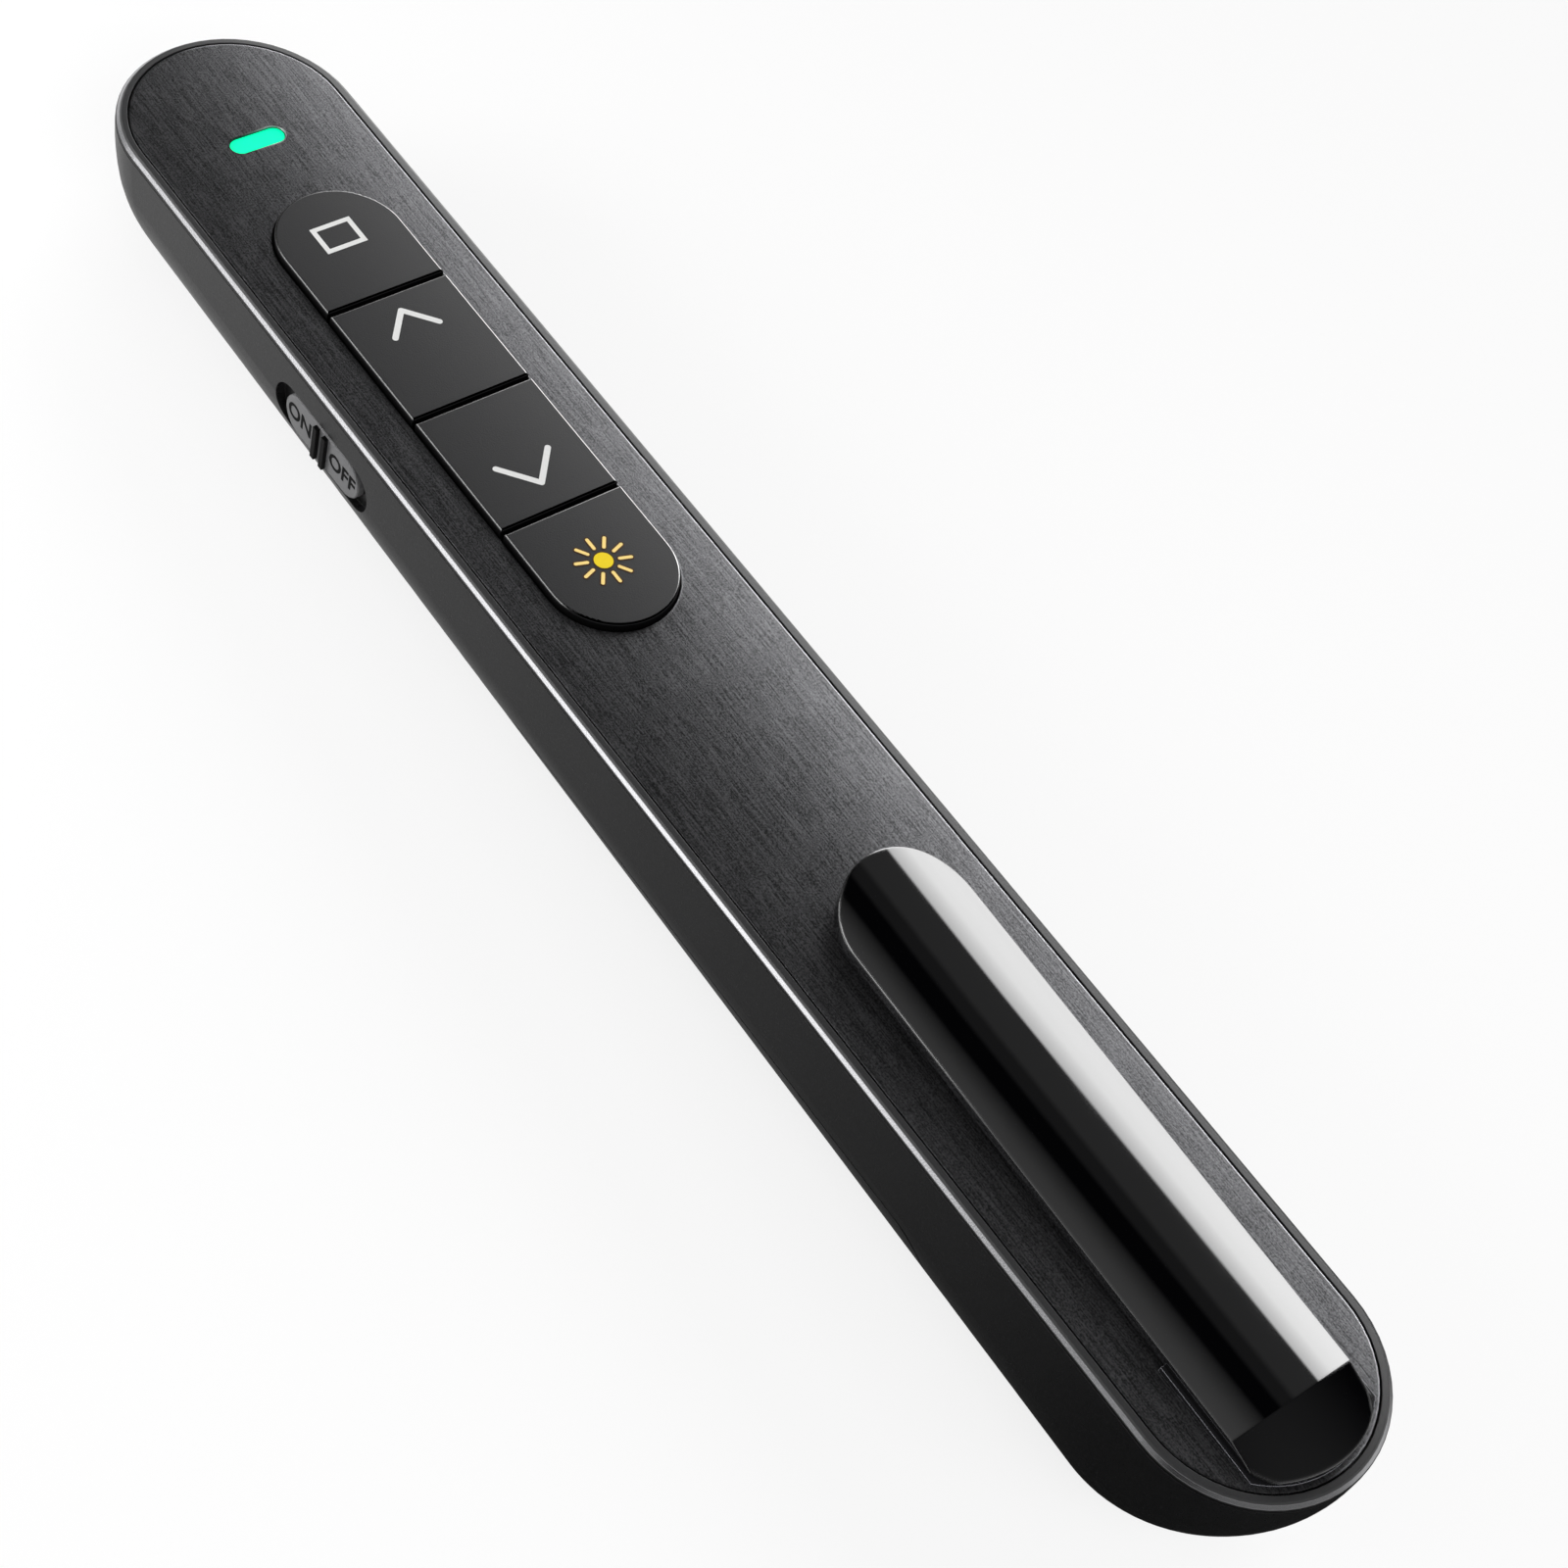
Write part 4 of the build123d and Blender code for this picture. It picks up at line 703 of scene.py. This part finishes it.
def painted_floor_shade(plain):
    """Painted shade on the floor round the object, seen only in mirrors, darkest near the tail and lighter
    towards the head.
    """
    low, high = cad_box
    beside, ahead, behind, fade = 50 * MM, 8 * MM, 45 * MM, 4 * MM
    tail_tone, head_tone = 0.98, 0.35
    reach_x = plain.times(
        plain.ranged(plain.at(X), low[X] - beside, low[X] - beside / 2, 0, 1),
        plain.ranged(plain.at(X), high[X] + beside, high[X] + beside / 2, 0, 1),
    )
    reach_y = plain.times(
        plain.ranged(plain.at(Y), low[Y] - behind, low[Y] - behind + fade, 0, 1),
        plain.ranged(plain.at(Y), high[Y] + ahead, high[Y] + ahead - fade, 0, 1),
    )
    darkest, lightest = low[Y] + 12 * MM, high[Y] - 4 * MM
    tone = plain.ranged(plain.at(Y), darkest, lightest, tail_tone, head_tone)
    return plain.times(plain.times(reach_x, reach_y), tone)


def seen_directly(tree):
    """One for rays from the camera, and for those that a mirror or glass sends on."""
    path = tree.nodes.new("ShaderNodeLightPath")
    total = path.outputs["Is Camera Ray"]
    for name in ("Is Glossy Ray", "Is Transmission Ray"):
        total = arithmetic(tree, "ADD", total, path.outputs[name])
    return arithmetic(tree, "MINIMUM", total, 1.0)


def softbox(name, place, target, size, radiance, mirrored=True):
    """A rectangular lamp of even brightness that looks at a target."""
    width, height = size
    lamp = bpy.data.lights.new(name, "AREA")
    lamp.shape = "RECTANGLE"
    lamp.size = width
    lamp.size_y = height
    lamp.energy = radiance * math.pi * width * height
    made = bpy.data.objects.new(name, lamp)
    bpy.context.scene.collection.objects.link(made)
    away = Vector(place) - Vector(target)
    made.matrix_world = Matrix.Translation(place) @ away.to_track_quat("Z", "Y").to_matrix().to_4x4()
    made.visible_camera = False
    made.visible_glossy = mirrored


def lamps():
    """A lamp beside the object, a small one near its head, and a large one above and behind its tail."""
    softbox("box_left", (-0.25, 0.17, 0.14), (0, 0.05, 0.01), size=(0.28, 0.12), radiance=3.4)
    softbox("box_head", (-0.1, 0.13, 0.05), (0, 0.07, 0.008), size=(0.06, 0.06), radiance=9, mirrored=False)
    softbox("box_front", (-0.05, -0.45, 0.45), (0, 0, 0), size=(0.6, 0.4), radiance=3.2, mirrored=False)


def smooth_step(tree, value, start, end, before, after):
    """A smooth step of a value from one number to another."""
    return ranged(tree, value, start, end, before, after, steps="SMOOTHSTEP")


def bands(tree, across, along, up):
    """Bands of light along the Y axis: a tall bright wall, a dark ceiling and a grey wall."""
    climb = [  # degrees up from +X over the top, and the brightness there
        (0, 3.5),
        (12, 3.9),
        (18, 4.35),
        (24, 4.65),
        (33, 4.9),
        (42, 3.9),
        (46.5, 3.4),
        (48.5, 0.13),
        (68, 0.13),
        (72, 0.05),
        (79, 0.05),
        (82, 0.0),
        (93, 0.0),
        (96, 0.07),
        (106, 0.22),
        (120, 0.35),
        (180, 0.35),
    ]
    brightest = max(strength for angle, strength in climb)
    tail_dark, tail_lit, head_lit, head_dark = -0.10, 0.0, 0.72, 0.92  # where along Y the bands end
    slant, level_y = 0.65, 0.25  # the bands climb by so many radians for each unit of Y below the level
    lean = arithmetic(tree, "MAXIMUM", arithmetic(tree, "SUBTRACT", level_y, along), 0.0)
    lean = arithmetic(tree, "MULTIPLY", lean, slant)
    turn = arithmetic(tree, "ADD", arithmetic(tree, "ARCTAN2", up, across), lean)
    ramp = tree.nodes.new("ShaderNodeValToRGB")
    feed(tree, ramp.inputs["Fac"], arithmetic(tree, "DIVIDE", turn, math.pi))
    stops = ramp.color_ramp.elements
    while len(stops) < len(climb):
        stops.new(0.5)
    for stop, (angle, strength) in zip(stops, climb):
        stop.position = angle / 180
        stop.color = (*([strength / brightest] * 3), 1)
    kept = smooth_step(tree, along, tail_dark, tail_lit, 0.0, brightest)
    kept = arithmetic(tree, "MULTIPLY", kept, smooth_step(tree, along, head_lit, head_dark, 1.0, 0.0))
    return arithmetic(tree, "MULTIPLY", ramp.outputs["Color"], kept)


def world():
    """A studio with a light horizon and a faint glow behind the tail, which the camera sees as white."""
    horizon, horizon_top = 0.85, 0.14
    glow_full, glow_end, glow = -0.75, -0.15, 0.25
    made = bpy.data.worlds.new("studio_world")
    made.use_nodes = True
    bpy.context.scene.world = made
    tree = made.node_tree
    place = tree.nodes.new("ShaderNodeTexCoord")
    parts = tree.nodes.new("ShaderNodeSeparateXYZ")
    feed(tree, parts.inputs["Vector"], place.outputs["Generated"])
    across, along, up = parts.outputs
    low = smooth_step(tree, up, 0.0, horizon_top, horizon, 0.0)
    studio = arithmetic(tree, "MAXIMUM", bands(tree, across, along, up), low)
    studio = arithmetic(tree, "ADD", studio, smooth_step(tree, along, glow_full, glow_end, glow, 0.0))
    path = tree.nodes.new("ShaderNodeLightPath")
    sky = tree.nodes["Background"]
    sky.inputs["Color"].default_value = (1, 1, 1, 1)
    feed(tree, sky.inputs["Strength"], arithmetic(tree, "MAXIMUM", studio, path.outputs["Is Camera Ray"]))


def camera():
    """The camera, above the tail's left side, looking towards the head."""
    right = Vector((0.78417, -0.58028, 0.21987))
    up = Vector((0.39293, 0.73856, 0.54785))
    place = Vector((-0.106606, -0.087313, 0.193422))
    lens = bpy.data.cameras.new("camera")
    lens.lens = 70.564
    lens.sensor_width = 36.0
    lens.sensor_fit = "HORIZONTAL"
    lens.clip_start = 0.01
    lens.clip_end = 20.0
    made = bpy.data.objects.new("camera", lens)
    bpy.context.scene.collection.objects.link(made)
    made.matrix_world = frame_at(place, right, up)
    bpy.context.scene.camera = made


floor()
world()
lamps()
camera()
bpy.context.scene.view_settings.view_transform = "Standard"
